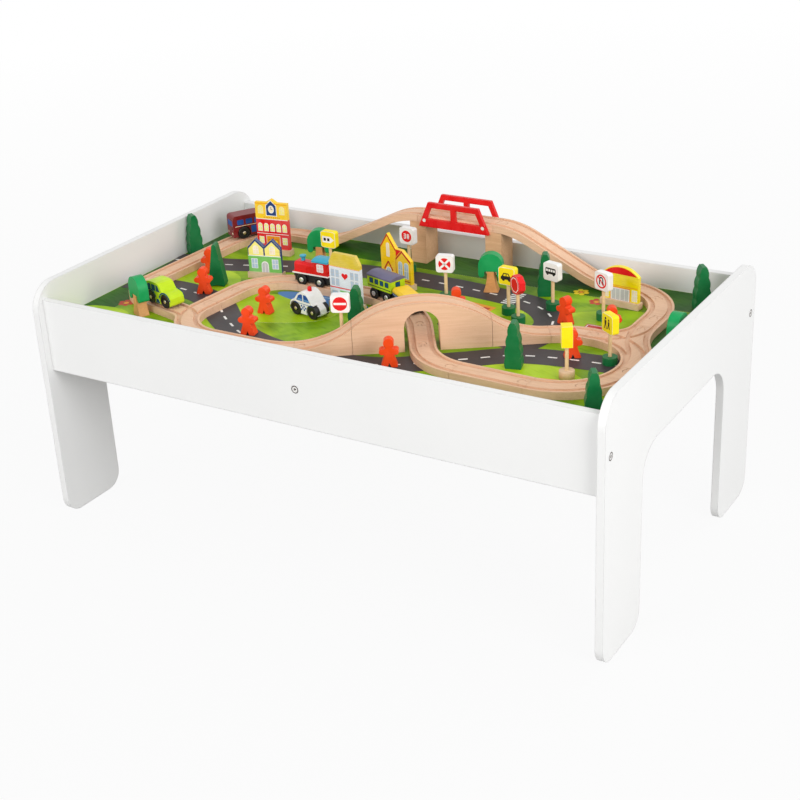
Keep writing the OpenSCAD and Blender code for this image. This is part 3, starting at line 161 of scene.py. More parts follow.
def make_light():
    world = bpy.data.worlds.new("studio")
    scene.world = world
    world.use_nodes = True
    tree = world.node_tree
    tree.nodes.clear()
    sky, shown = [add_node(tree, "Background", {"Color": PURE_WHITE, "Strength": strength}).outputs[0]
                  for strength in (SKY_LIGHT, SHOWN_LIGHT)]
    look = add_node(tree, "MixShader", {0: seen_rays(tree), 1: sky, 2: shown})
    add_node(tree, "OutputWorld", {"Surface": look.outputs[0]})
    for name, (place, width, watts) in LAMPS.items():
        data = bpy.data.lights.new(name, "AREA")
        data.shape, data.size, data.energy = "DISK", width, watts
        lamp = new_object(name, data)
        lamp.location = place
        lamp.rotation_mode = "QUATERNION"
        lamp.rotation_quaternion = (AIM - Vector(place)).to_track_quat("-Z", "Y")


def make_floor():
    """A grey floor that shows as white, less so near the table, where it keeps the shadow."""
    mesh = bpy.data.meshes.new("floor")
    corners = [(x * FLOOR_HALF, y * FLOOR_HALF, 0) for x, y in ((-1, -1), (1, -1), (1, 1), (-1, 1))]
    mesh.from_pydata(corners, [], [(0, 1, 2, 3)])
    floor = new_object("floor", mesh)
    floor.location.z = -FLOOR_DROP
    mat = bpy.data.materials.new("floor_white")
    mat.use_nodes = True
    tree = mat.node_tree
    tree.nodes.clear()
    place = add_node(tree, "NewGeometry").outputs["Position"]
    away = add_node(tree, "VectorMath", {0: place}, operation="LENGTH").outputs["Value"]
    share = add_node(tree, "MapRange", {"Value": away, "From Min": FADE_NEAR, "From Max": FADE_FAR,
                                        "To Min": NEAR_SHARE, "To Max": 1.0}).outputs["Result"]
    white = add_node(tree, "Math", {0: seen_rays(tree), 1: share}, operation="MULTIPLY").outputs[0]
    flat = add_node(tree, "BsdfDiffuse", {"Color": (FLOOR_GREY,) * 3}).outputs[0]
    glow = add_node(tree, "Emission", {"Color": PURE_WHITE, "Strength": SHOWN_LIGHT}).outputs[0]
    look = add_node(tree, "MixShader", {0: white, 1: flat, 2: glow})
    add_node(tree, "OutputMaterial", {"Surface": look.outputs[0]})
    mesh.materials.append(mat)


# Materials

MIX_A, MIX_B, MIX_RESULT = 6, 7, 2  # the colour sockets of a mix node
BEVEL_SAMPLES = 4


class Shader:
    """A principled material with shortcuts for its node tree; most return the socket with their result."""

    def __init__(self, name):
        self.mat = bpy.data.materials.new(name)
        self.mat.use_nodes = True
        self.tree = self.mat.node_tree
        self.bsdf = self.tree.nodes["Principled BSDF"]
        where = self.add("TexCoord").outputs
        self.coord, self.own_normal = where["Object"], where["Normal"]

    def add(self, kind, inputs=None, **settings):
        return add_node(self.tree, kind, inputs, **settings)

    def mapped(self, scale, turn=0.0):
        """Coordinates with scale repeats to a metre along each axis, turned about the vertical."""
        return self.add("Mapping", {"Vector": self.coord, "Rotation": (0.0, 0.0, math.radians(turn)),
                                    "Scale": tuple(1.0 / s for s in scale)},
                        vector_type="TEXTURE").outputs["Vector"]

    def noise(self, vector, scale, detail=3.0, rough=0.55, distort=0.0):
        return self.add("TexNoise", {"Vector": vector, "Scale": scale, "Detail": detail, "Roughness": rough,
                                     "Distortion": distort}).outputs["Fac"]

    def ramp(self, fac, stops, constant=False):
        node = self.add("ValToRGB", {"Fac": fac})
        if constant:
            node.color_ramp.interpolation = "CONSTANT"
        elements = node.color_ramp.elements
        while len(elements) < len(stops):
            elements.new(1.0)
        for element, (at, rgb) in zip(elements, stops):
            element.position = at
            element.color = (*rgb, 1.0)
        return node.outputs["Color"]

    def span(self, value, low, high, to_low, to_high):
        """The value, stretched from low to high onto to_low to to_high, and held at those ends."""
        return self.add("MapRange", {"Value": value, "From Min": low, "From Max": high, "To Min": to_low,
                                     "To Max": to_high}).outputs["Result"]

    def math(self, operation, a, b):
        return self.add("Math", {0: a, 1: b}, operation=operation).outputs[0]

    def dot(self, a, b):
        return self.add("VectorMath", {0: a, 1: b}, operation="DOT_PRODUCT").outputs["Value"]

    def mix(self, share, a, b):
        """Colour a, with b in its place by a share."""
        return self.add("Mix", {0: share, MIX_A: a, MIX_B: b}, data_type="RGBA").outputs[MIX_RESULT]

    def bevel(self, radius):
        return self.add("Bevel", {"Radius": radius * MM}, samples=BEVEL_SAMPLES).outputs["Normal"]

    def bump(self, height, strength, distance, normal=None):
        inputs = {"Strength": strength, "Distance": distance, "Height": height}
        if normal is not None:
            inputs["Normal"] = normal
        feed(self.tree, self.bsdf, {"Normal": self.add("Bump", inputs).outputs["Normal"]})

    def edges(self, normal):
        """1 along the edges of a piece, where the bevel turns its normal, and 0 on its faces."""
        return self.span(self.dot(normal, self.add("NewGeometry").outputs["Normal"]), 0.99, 0.86, 0.0, 1.0)

    def worn(self, normal, most, scale=210.0, detail=3.0, low=0.42, high=0.68):
        """Share of a finish that is rubbed off: in patches along the edges."""
        patches = self.span(self.noise(self.coord, scale, detail), low, high, 0.0, most)
        return self.math("MULTIPLY", self.edges(normal), patches)

    def facing(self, way):
        """1 on the faces that look along way in the piece's own frame, 0 elsewhere."""
        return self.span(self.dot(self.own_normal, way), 0.6, 0.8, 0.0, 1.0)

    def finish(self, color, rough, gloss=0.2):
        """Closes the material; gloss is the strength of its reflection, 0.5 for plain shiny plastic."""
        feed(self.tree, self.bsdf, {"Base Color": color, "Roughness": rough, "Specular IOR Level": gloss})
        return self.mat


def shade(rgb, k):
    return tuple(min(1.0, c * k) for c in rgb)


def toward(rgb, other, share):
    return tuple(a + (b - a) * share for a, b in zip(rgb, other))


def lin(r, g, b):
    """A screen colour, 0 to 255, as the linear values that shaders take."""
    return tuple(((c / 255 + 0.055) / 1.055) ** 2.4 if c > 10 else c / 255 / 12.92 for c in (r, g, b))


WHITE = lin(240, 239, 237)
ICE = lin(226, 232, 242)
CREAM = lin(244, 228, 196)
YELLOW = lin(250, 205, 20)
LEMON = lin(248, 226, 6)
PALE_YELLOW = lin(246, 236, 130)
GOLD = lin(222, 196, 64)
AMBER = lin(240, 150, 30)
ORANGE = lin(244, 72, 18)
RED = lin(224, 16, 20)
DEEP_RED = lin(122, 26, 30)
BRICK = lin(190, 44, 30)
BLUE = lin(24, 78, 160)
NAVY = lin(28, 62, 122)
SKY = lin(90, 150, 205)
CYAN = lin(48, 164, 194)
TEAL = lin(10, 78, 112)
LIME = lin(190, 222, 20)
LEAF = lin(118, 196, 96)
TREE = lin(1, 110, 56)
CROWN = lin(4, 154, 84)
BLACK = lin(24, 24, 26)
SLATE = lin(104, 100, 128)
STONE = lin(70, 66, 68)
DUST = (0.3, 0.3, 0.3)
SOOT = (0.12, 0.05, 0.02)
BARE = lin(222, 190, 158)
BEECH = lin(232, 193, 162)
BEECH_DARK = lin(204, 158, 122)
BEECH_WARM = (0.75, 0.46, 0.3)
BOARD_EDGE = lin(226, 222, 214)


def paint(name, rgb, rough=0.34, edge=0.8, wear=0.35):
    """Brushed paint on wood: faint tone changes, fibres that press through, thin paint along the edges."""
    s = Shader(name)
    tone = s.noise(s.coord, 45.0, 4.0)
    fibre = s.noise(s.mapped((60.0, 60.0, 900.0)), 1.0, 4.0)
    color = s.ramp(tone, [(0.25, shade(rgb, 0.9)), (0.75, toward(shade(rgb, 1.06), PURE_WHITE, 0.02))])
    color = s.mix(s.span(fibre, 0.35, 0.75, 0.0, 0.25), color, shade(rgb, 0.82))
    beveled = s.bevel(edge)
    color = s.mix(s.worn(beveled, wear), color, toward(rgb, BARE, 0.6))
    grit = s.math("MULTIPLY", s.noise(s.coord, 520.0, 2.0), 0.6)
    s.bump(s.math("ADD", fibre, grit), 0.12, 0.0003, beveled)
    return s.finish(color, s.span(tone, 0.2, 0.8, rough - 0.06, rough + 0.08))


def lacquer(name, rgb):
    """Lacquer on fibre board: slight roller texture, a little grey along the edges."""
    s = Shader(name)
    cloud = s.noise(s.coord, 3.0, 4.0)
    color = s.ramp(cloud, [(0.3, shade(rgb, 0.975)), (0.7, rgb)])
    beveled = s.bevel(2.0)
    color = s.mix(s.worn(beveled, 0.5, 60.0, 4.0, 0.45, 0.75), color, shade(rgb, 0.9))
    s.bump(s.noise(s.coord, 420.0, 2.0), 0.06, 0.0004, beveled)
    return s.finish(color, s.span(cloud, 0.2, 0.8, 0.3, 0.42), 0.4)


def timber(name, light, dark, turn=0.0, edge=1.0):
    """Plain beech: long fibres along the piece, short dark flecks, slow changes of tone."""
    s = Shader(name)
    cloud = s.noise(s.coord, 14.0, 2.0)
    fibre = s.noise(s.mapped((22.0, 300.0, 300.0), turn), 1.0, 5.0, 0.62, 0.4)
    fleck = s.noise(s.mapped((260.0, 1900.0, 1900.0), turn), 1.0, 2.0)
    rings = s.noise(s.mapped((4.0, 75.0, 75.0), turn), 1.0, 3.0, 0.5, 1.2)
    early, late = toward(light, dark, 0.35), toward(light, dark, 0.18)
    color = s.ramp(rings, [(0.3, early), (0.48, light), (0.7, late)])
    color = s.mix(s.span(fibre, 0.4, 0.75, 0.0, 0.45), color, dark)
    color = s.mix(s.span(fleck, 0.62, 0.74, 0.0, 0.55), color, shade(dark, 0.8))
    color = s.mix(s.span(cloud, 0.3, 0.7, 0.0, 0.22), color, toward(light, BEECH_WARM, 0.6))
    beveled = s.bevel(edge)
    color = s.mix(s.math("MULTIPLY", s.edges(beveled), 0.3), color, shade(dark, 0.9))
    s.bump(s.math("ADD", fibre, s.math("MULTIPLY", fleck, -0.5)), 0.14, 0.0004, beveled)
    return s.finish(color, s.span(fibre, 0.3, 0.7, 0.44, 0.6))


def metal(name, rgb, rough=0.3):
    """Brushed metal."""
    s = Shader(name)
    brushed = s.noise(s.mapped((900.0, 120.0, 900.0), 30.0), 1.0, 3.0)
    color = s.ramp(brushed, [(0.3, shade(rgb, 0.82)), (0.7, rgb)])
    s.bsdf.inputs["Metallic"].default_value = 1.0
    s.bump(brushed, 0.08, 0.0001, s.bevel(0.3))
    return s.finish(color, s.span(brushed, 0.2, 0.8, rough - 0.08, rough + 0.12), 0.5)


def plastic(name, rgb, rough):
    """Moulded plastic with a little dust."""
    s = Shader(name)
    dust = s.noise(s.coord, 90.0, 4.0)
    color = s.mix(s.span(dust, 0.5, 0.8, 0.0, 0.25), rgb, toward(rgb, DUST, 0.35))
    s.bump(s.noise(s.coord, 900.0, 2.0), 0.1, 0.0002, s.bevel(0.5))
    return s.finish(color, s.span(dust, 0.2, 0.8, rough - 0.08, rough + 0.1), 0.35)


def ink(name, rgb):
    """Screen print on wood or board."""
    s = Shader(name)
    tone = s.noise(s.coord, 60.0, 4.0)
    dots = s.noise(s.coord, 1400.0, 1.0)
    color = s.ramp(tone, [(0.25, shade(rgb, 0.9)), (0.75, toward(shade(rgb, 1.05), PURE_WHITE, 0.02))])
    color = s.mix(s.span(dots, 0.6, 0.8, 0.0, 0.18), color, shade(rgb, 0.75))
    s.bump(dots, 0.05, 0.0001)
    return s.finish(color, 0.4)


def meadow(name, dark, mid, light):
    """Printed grass: soft patches of three greens with a few brush strokes, on a board with pale edges."""
    s = Shader(name)
    patch = s.noise(s.mapped((7.0, 11.0, 7.0), 25.0), 1.0, 3.0, 0.5, 0.8)
    stroke = s.noise(s.mapped((40.0, 190.0, 40.0), -20.0), 1.0, 3.0)
    color = s.ramp(patch, [(0.3, dark), (0.5, mid), (0.68, light)])
    color = s.mix(s.span(stroke, 0.55, 0.72, 0.0, 0.35), color, shade(dark, 0.8))
    color = s.mix(s.facing(UP), BOARD_EDGE, color)
    s.bump(s.noise(s.coord, 900.0, 2.0), 0.05, 0.0002)
    return s.finish(color, s.span(stroke, 0.2, 0.8, 0.36, 0.5))


def asphalt(name, rgb):
    """Printed street: dark and gritty."""
    s = Shader(name)
    grit = s.noise(s.coord, 1100.0, 2.0)
    cloud = s.noise(s.coord, 22.0, 3.0)
    color = s.ramp(cloud, [(0.3, shade(rgb, 0.85)), (0.7, shade(rgb, 1.12))])
    color = s.mix(s.span(grit, 0.55, 0.8, 0.0, 0.3), color, shade(rgb, 1.5))
    s.bump(grit, 0.05, 0.0001)
    return s.finish(color, 0.45)


PLINTH = 10.1  # height up to which a building is bare wood
BANDS_H = 120.0  # height that the bands of a building are shares of


def banded(name, bands, rim=None, heading=0.0):
    """A painted building: level bands of (height above its foot, colour), and a colour for its edges."""
    s = Shader(name)
    bands = [(0.0, BARE)] + bands
    z = s.add("SeparateXYZ", {0: s.coord}).outputs["Z"]
    z = s.span(z, GROUND * MM, (GROUND + BANDS_H) * MM, 0.0, 1.0)
    color = s.ramp(z, [(h / BANDS_H, rgb) for h, rgb in bands], constant=True)
    if rim:
        turn = math.radians(heading)
        front = Vector((math.sin(turn), -math.cos(turn), 0.0))
        broad = s.math("MAXIMUM", s.facing(front), s.facing(-front))
        color = s.mix(broad, s.ramp(z, [(0.0, BARE), (PLINTH / BANDS_H, rim)], constant=True), color)
    fibre = s.noise(s.mapped((120.0, 120.0, 700.0)), 1.0, 4.0)
    tone = s.noise(s.coord, 45.0, 4.0)
    color = s.mix(s.span(fibre, 0.4, 0.75, 0.0, 0.16), color, SOOT)
    color = s.mix(s.span(tone, 0.4, 0.8, 0.0, 0.1), color, PURE_WHITE)
    beveled = s.bevel(0.7)
    color = s.mix(s.worn(beveled, 0.35), color, BARE)
    s.bump(fibre, 0.1, 0.0003, beveled)
    return s.finish(color, s.span(tone, 0.2, 0.8, 0.29, 0.42))


M = {
    "white": lacquer("white_lacquer", lin(230, 230, 229)),
    "beech": timber("beech", BEECH, BEECH_DARK),
    "beech_bridge": timber("beech_bridge", lin(230, 190, 158), BEECH_DARK, 33.5),
    "beech_side": timber("beech_side", BEECH, BEECH_DARK, 84.0),
    "pier": timber("pier_wood", lin(222, 178, 138), lin(190, 140, 100)),
    "dowel": timber("dowel_wood", lin(226, 196, 160), lin(196, 160, 124)),
    "post": timber("post_wood", lin(232, 204, 158), lin(206, 170, 120), edge=0.4),
    "trunk": timber("trunk_wood", lin(222, 160, 98), lin(186, 120, 68), edge=1.4),
    "steel": metal("zinc_steel", (0.62, 0.60, 0.57)),
    "cap": metal("polished_cap", (0.9, 0.89, 0.87), 0.36),
    "brass": metal("dull_brass", (0.82, 0.7, 0.5), 0.4),
    "wheel": plastic("wheel_black", (0.014, 0.014, 0.015), 0.34),
    "chassis": plastic("chassis_black", (0.016, 0.016, 0.017), 0.42),
    "truss": paint("truss_red", RED, 0.28, 1.2, 0.2),
    "pin": paint("pin_white", lin(236, 230, 220), 0.4, 0.3),
    "tree": paint("tree_green", TREE, 0.36, 1.6),
    "crown": paint("crown_green", CROWN, 0.36, 1.6),
    "figure": paint("figure_orange", ORANGE, 0.34, 1.8, 0.25),
    "sign": paint("sign_white", WHITE, 0.32, 0.9),
    "loco": paint("loco_red", RED, 0.26),
    "roof_blue": paint("roof_blue", CYAN, 0.3),
    "lime": paint("lime_paint", LIME, 0.3, 1.2),
    "slate": paint("roof_slate", SLATE, 0.4),
    "tub": paint("tub_blue", NAVY),
    "cover": paint("cover_yellow", YELLOW),
    "bus": paint("bus_red", DEEP_RED, 0.3, 1.2),
    "patrol": paint("patrol_white", lin(238, 238, 237), 0.26, 1.2, 0.2),
    "beacon": paint("beacon_red", RED, 0.2, 0.4),
    "school": banded("school_paint", [(PLINTH, RED), (64.4, YELLOW)]),
    "twin": banded("twin_paint", [(PLINTH, LEAF), (39.3, PALE_YELLOW)], NAVY, HOUSE_HEADINGS["twin_house"]),
    "clinic": banded("clinic_paint", [(PLINTH, ICE), (70.0, GOLD)]),
    "church": banded("church_paint", [(PLINTH, YELLOW)]),
    "station": banded("station_paint", [(PLINTH, LEMON)]),
    "grass": meadow("board_grass", lin(68, 116, 6), lin(132, 174, 8), lin(162, 200, 22)),
    "grass_dark": meadow("board_grass_dark", lin(22, 68, 8), lin(42, 98, 10), lin(74, 130, 14)),
    "grass_light": meadow("board_grass_light", lin(136, 182, 10), lin(168, 204, 22), lin(190, 218, 44)),
    "road": asphalt("board_road", STONE),
    # painted shade for the bolt heads: dark brown ink along their rim and at the bottom of their key socket
    "bronze": ink("painted_bolt_shade", lin(58, 44, 34)),
    "ink_pale": ink("ink_pale_yellow", PALE_YELLOW),
}
BOARD_INKS = {
    "line": lin(240, 240, 236), "water": lin(66, 128, 190), "ripple": lin(150, 196, 226),
    "plaza": lin(238, 158, 50), "court": lin(196, 52, 40), "petal": lin(244, 214, 40),
}
M.update({key: ink(f"board_{key}", rgb) for key, rgb in BOARD_INKS.items()})
INKS = {
    "white": WHITE, "cream": CREAM, "yellow": YELLOW, "lemon": LEMON, "amber": AMBER,
    "red": RED, "rose": lin(238, 206, 208), "brick": BRICK, "blue": BLUE, "navy": NAVY,
    "sky": lin(176, 200, 226), "window": SKY, "teal": TEAL, "leaf": LEAF,
    "green": lin(20, 150, 60), "grey": lin(196, 196, 200), "black": BLACK,
}
M.update({f"ink_{key}": ink(f"ink_{key}", rgb) for key, rgb in INKS.items()})

NODE_LOOK = {
    "white": ["end_panel_left", "end_panel_right", "front_apron", "rear_apron", "board_cleats",
              "centre_brace"],
    "grass": ["play_board"],
    "steel": ["cleat_screws", "barrel_nuts"],
    "cap": ["frame_bolts"],
    "dowel": ["frame_dowels"],
    "beech": ["curve_tracks", "straight_tracks", "rear_ramps", "bridge_span", "left_switch"],
    "beech_side": ["right_switch"],
    "beech_bridge": ["bridge_ramps", "arch_bridge"],
    "pier": ["bridge_piers"],
    "truss": ["bridge_trusses"],
    "pin": ["truss_pins"],
    "tree": ["tall_trees", "sign_bases"],
    "crown": ["tree_crowns"],
    "trunk": ["tree_trunks"],
    "figure": ["figures"],
    "post": ["sign_posts"],
    "sign": ["sign_plates"],
    "school": ["school"], "twin": ["twin_house"], "clinic": ["clinic"], "church": ["church"],
    "station": ["station"],
    "chassis": ["loco_chassis", "coach_chassis", "wagon_chassis"],
    "loco": ["loco_body"], "roof_blue": ["loco_roof", "loco_funnel"],
    "lime": ["coach_body", "car_body"], "slate": ["coach_roof"],
    "tub": ["wagon_tub"], "cover": ["wagon_cover"],
    "bus": ["bus_body"], "patrol": ["patrol_body"], "beacon": ["patrol_beacon"],
}


def dress_nodes():
    """Gives each CAD node its material; the nodes that aren't listed are axles with their wheels."""
    look = {node: key for key, nodes in NODE_LOOK.items() for node in nodes}
    for node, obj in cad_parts.items():
        obj.data.materials.clear()
        obj.data.materials.append(M[look.get(node, "wheel")])


# Prints: thin closed shapes laid on a face, gathered into one mesh for each body and colour

LAYER, SINK = 0.06, 0.2  # height of a layer of print, and its depth in what carries it
prints = {}


class Face:
    """A flat face: a place on it, its directions across and up, and the way that it looks."""

    def __init__(self, place, across, up):
        self.place, self.across, self.up = Vector(place), Vector(across), Vector(up)
        self.way = self.across.cross(self.up)

    def at(self, x, y, h):
        return (self.place + self.across * x + self.up * y + self.way * h) * MM


def placed(x, y, z, heading):
    return Matrix.Translation((x, y, z)) @ Matrix.Rotation(math.radians(heading), 4, "Z")


def axis(m, k):
    """Direction of a place's own axis, 0 for x and 1 for y."""
    return m.to_3x3().col[k].copy()


def broad_faces(m, thick):
    """Front and back of an upright block that stands at m and looks along its own -y."""
    across, half = axis(m, 0), Vector((0, thick / 2, 0))
    return [Face(m @ -half, across, UP), Face(m @ half, -across, UP)]


def lay(body, slot, mat, face, outline, layer=0):
    prints.setdefault((body, slot, mat), []).append((face, outline, layer))


def both(body, slot, faces):
    """Yields, for a front and a back, a call that lays an ink there; the back is a mirror image."""
    for k, face in zip((1, -1), faces):
        def put(color, outline, layer=0):
            lay(body, slot, f"ink_{color}", face, [(k * x, y) for x, y in outline], layer)
        yield put


def moved(outline, x, y, turn):
    """An outline, turned about its origin and moved to x, y."""
    c, s = math.cos(math.radians(turn)), math.sin(math.radians(turn))
    return [(x + c * p - s * q, y + s * p + c * q) for p, q in outline]


def rect(x, y, w, h):
    """A rectangle that stands on the middle of its lower side."""
    return [(x - w / 2, y), (x + w / 2, y), (x + w / 2, y + h), (x - w / 2, y + h)]


def arc(x, y, r, start, end, n):
    """n + 1 points around x, y, from one angle to another, in degrees."""
    turns = [math.radians(start + (end - start) * i / n) for i in range(n + 1)]
    return [(x + r * math.cos(t), y + r * math.sin(t)) for t in turns]


def disc(x, y, r, n=32):
    return arc(x, y, r, 0, 360, n)[:-1]


def oval(x, y, a, b, turn=0.0, wobble=0.0, seed=0, n=40):
    """An ellipse with half axes a and b, whose edge wanders by a share of them."""
    rnd = random.Random(seed)
    ph = [rnd.uniform(0, 6.28) for _ in range(3)]
    out = []
    for i in range(n):
        t = 2 * math.pi * i / n
        waves = math.sin(2 * t + ph[0]) + 0.6 * math.sin(3 * t + ph[1]) + 0.4 * math.sin(5 * t + ph[2])
        k = 1 + wobble * waves
        out.append((a * k * math.cos(t), b * k * math.sin(t)))
    return moved(out, x, y, turn)


def soft_rect(x, y, w, h, r, n=6):
    """A rectangle with round corners, on the middle of its lower side."""
    left, right, low, high = x - w / 2 + r, x + w / 2 - r, y + r, y + h - r
    return (arc(right, low, r, -90, 0, n) + arc(right, high, r, 0, 90, n)
            + arc(left, high, r, 90, 180, n) + arc(left, low, r, 180, 270, n))


def arch(x, y, w, h, n=12):
    """A rectangle with a half round on top."""
    r = w / 2
    return [(x - r, y), (x + r, y)] + arc(x, y + h - r, r, 0, 180, n)


def bar(x0, y0, x1, y1, w):
    a, b = Vector((x0, y0)), Vector((x1, y1))
    d = (b - a).normalized()
    p = Vector((-d.y, d.x)) * w / 2
    return [tuple(a - p), tuple(b - p), tuple(b + p), tuple(a + p)]


def ring(x, y, r0, r1, n=36):
    """A ring as short plates, each a closed outline."""
    inner, outer = arc(x, y, r0, 0, 360, n), arc(x, y, r1, 0, 360, n)
    return [[inner[i], outer[i], outer[i + 1], inner[i + 1]] for i in range(n)]


def add_piece(name, bm, mat, body):
    mesh = bpy.data.meshes.new(name)
    bm.to_mesh(mesh)
    bm.free()
    mesh.materials.append(M[mat])
    obj = new_object(name, mesh)
    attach(obj, body)


def lathe(name, rings, place, way, mat, body, n=40):
    """A closed turned piece: rings of (radius, height) along its axis from place."""
    way = Vector(way).normalized()
    side = way.orthogonal().normalized()
    other = way.cross(side)
    bm = bmesh.new()
    place = Vector(place)
    rows = [[bm.verts.new((place + way * h + side * x + other * y) * MM) for x, y in disc(0, 0, r, n)]
            for r, h in rings]
    for a, b in zip(rows, rows[1:]):
        for i in range(n):
            j = (i + 1) % n
            bm.faces.new((a[i], a[j], b[j], b[i])).smooth = True
    bm.faces.new(rows[0][::-1])
    bm.faces.new(rows[-1])
    add_piece(name, bm, mat, body)


def build_prints():
    for (body, slot, mat), shapes in prints.items():
        bm = bmesh.new()
        for face, outline, layer in shapes:
            after = outline[1:] + outline[:1]
            if sum(x0 * y1 - x1 * y0 for (x0, y0), (x1, y1) in zip(outline, after)) < 0:
                outline = outline[::-1]
            low, high = [[bm.verts.new(face.at(x, y, h)) for x, y in outline]
                         for h in (-SINK, LAYER * (layer + 1))]
            bm.faces.new(high)
            bm.faces.new(low[::-1])
            for i in range(len(outline)):
                bm.faces.new((low[i - 1], low[i], high[i], high[i - 1]))
        bm.normal_update()
        bmesh.ops.triangulate(bm, faces=[f for f in bm.faces if len(f.verts) > 4], ngon_method="EAR_CLIP")
        add_piece(f"{body}_{mat}_print", bm, mat, body)


# The printed board, a picture of its own, placed from the middle

BOARD_FACE = Face((0, 0, BOARD), (1, 0, 0), (0, 1, 0))
REAR_LAWN, LEFT_LAWN = 76, 54  # widths of the dark lawns along two edges
LAWNS = {  # place, half axes, turn, wobble
    "grass_light": [(-190, -70, 120, 62, 12, 0.05), (60, 62, 130, 40, 4, 0.06),
                    (290, -130, 120, 50, -8, 0.06), (330, 90, 80, 62, 30, 0.06),
                    (-360, -20, 66, 60, 0, 0.06), (-430, -215, 60, 40, 0, 0.05)],
    "grass_dark": [(150, 5, 60, 26, 20, 0.08), (440, 40, 44, 90, 0, 0.05)],
}
REAR_STREET = [(-EDGE_X, 50), (-390, 62), (-300, 92), (-190, 128), (-60, 140), (80, 134), (190, 116),
               (248, 66), (252, 0), (236, -60)]
FRONT_STREET = [(-EDGE_X, -70), (-380, -60), (-290, -84), (-222, -140), (-140, -188), (-30, -206),
                (90, -188), (190, -120), (260, -72), (360, -50), (EDGE_X, -44)]
DASH_START, DASH_PITCH, DASH_HALF, DASH_W = 9.0, 33.0, 7.0, 3.6
RIPPLES = [(-160, -2, 34), (-118, 4, 40), (-96, -12, 30), (-138, -14, 24)]  # place, length
YARDS = [(-14, -140, 66, 34, 10), (110, 66, 62, 38, -8), (322, -150, 64, 40, 12)]  # place, size, turn
COURT_X, COURT_Y, COURT_W, COURT_H = 330, 44, 60, 36
COURT_INSET, COURT_LINE = 2.0, 1.6
FLOWERS = [(276, 168, "court"), (-420, -150, "court"), (236, 196, "petal"), (-60, 76, "court"),
           (440, 150, "petal")]
PETALS, PETAL_OUT, PETAL_R, FLOWER_R = 6, 9.0, 4.4, 4.2
CROSSING_X, CROSSING_Y, CROSSING_W = 150, 102, 22
CROSSING_BARS, CROSSING_BAR, CROSSING_PITCH = 7, 3.8, 7.4


def on_board(mat, outline, layer=0):
    lay("table", "board_print", mat, BOARD_FACE, outline, layer)


def spread(mat, outline, layer=0):
    """Lays a lawn or pond on the board, cut off at its border."""
    on_board(mat, [(max(-EDGE_X, min(EDGE_X, x)), max(-EDGE_Y, min(EDGE_Y, y))) for x, y in outline], layer)


def smooth_path(points, step=6.0):
    """A curve through the points, with a point about every step."""
    points = [Vector(p) for p in points]
    points = [2 * points[0] - points[1]] + points + [2 * points[-1] - points[-2]]
    out = []
    for p0, p1, p2, p3 in zip(points, points[1:], points[2:], points[3:]):
        n = max(2, int((p2 - p1).length / step))
        for t in (k / n for k in range(n)):
            out.append(0.5 * ((2 * p1) + (p2 - p0) * t + (2 * p0 - 5 * p1 + 4 * p2 - p3) * t * t
                              + (3 * p1 - p0 - 3 * p2 + p3) * t ** 3))
    return out + [points[-2]]


def street(points, width, layer):
    """A street along a curve through the points, with a dashed line along its middle."""
    path = smooth_path(points)
    left, right = [], []
    for before, p, after in zip(path[:1] + path, path, path[1:] + path[-1:]):
        d = (after - before).normalized()
        q = Vector((-d.y, d.x)) * width / 2
        left.append(tuple(p + q))
        right.append(tuple(p - q))
    on_board("road", right + left[::-1], layer)
    walked, dash = 0.0, DASH_START
    for a, b in zip(path, path[1:]):
        length, d = (b - a).length, (b - a).normalized() * DASH_HALF
        while dash <= walked + length:
            c = a + (b - a) * ((dash - walked) / length)
            on_board("line", bar(*(c - d), *(c + d), DASH_W), layer + 1)
            dash += DASH_PITCH
        walked += length


def print_board():
    spread("grass_dark", rect(0, EDGE_Y - REAR_LAWN, 2 * EDGE_X, REAR_LAWN))
    spread("grass_dark", rect(LEFT_LAWN / 2 - EDGE_X, -EDGE_Y, LEFT_LAWN, 2 * EDGE_Y - REAR_LAWN))
    seed = 0
    for layer, (mat, lawns) in enumerate(LAWNS.items(), 1):
        for lawn in lawns:
            seed += 1
            spread(mat, oval(*lawn, seed), layer)
    street(REAR_STREET, 58, 3)
    street(FRONT_STREET, 56, 5)
    # pond with ripples
    spread("water", oval(-128, -6, 84, 22, 2, 0.06, seed=11), 2)
    for x, y, length in RIPPLES:
        on_board("ripple", bar(x - length / 2, y, x + length / 2, y + 2, 2.4), 3)
    # paved yards with a grid of bricks
    for x, y, w, h, turn in YARDS:
        on_board("plaza", moved(rect(0, -h / 2, w, h), x, y, turn), 2)
        for i in (-1, 0, 1):
            for low in (-0.36, 0.04):
                on_board("court", moved(rect(i * w * 0.3, low * h, w * 0.2, h * 0.26), x, y, turn), 3)
    # ball court with lines
    on_board("court", rect(COURT_X, COURT_Y, COURT_W, COURT_H), 2)
    y, w, h = COURT_Y + COURT_INSET, COURT_W - 2 * COURT_INSET, COURT_H - 2 * COURT_INSET
    for low in (y, y + h - COURT_LINE):
        on_board("line", rect(COURT_X, low, w, COURT_LINE), 3)
    for side in (-1, 1, 0):
        on_board("line", rect(COURT_X + side * (w - COURT_LINE) / 2, y, COURT_LINE, h), 3)
    # flower beds
    for x, y, mat in FLOWERS:
        for px, py in disc(x, y, PETAL_OUT, PETALS):
            on_board(mat, disc(px, py, PETAL_R, 14), 2)
        on_board("plaza", disc(x, y, FLOWER_R, 14), 2)
    # crossing
    for k in range(CROSSING_BARS):
        on_board("line", rect(CROSSING_X, CROSSING_Y + k * CROSSING_PITCH, CROSSING_W, CROSSING_BAR), 5)


# Bolt heads

BOLT_RIM, BOLT_EDGE, SOCKET_R, SOCKET_DEPTH = 1.3, 0.05, 1.95, 1.5


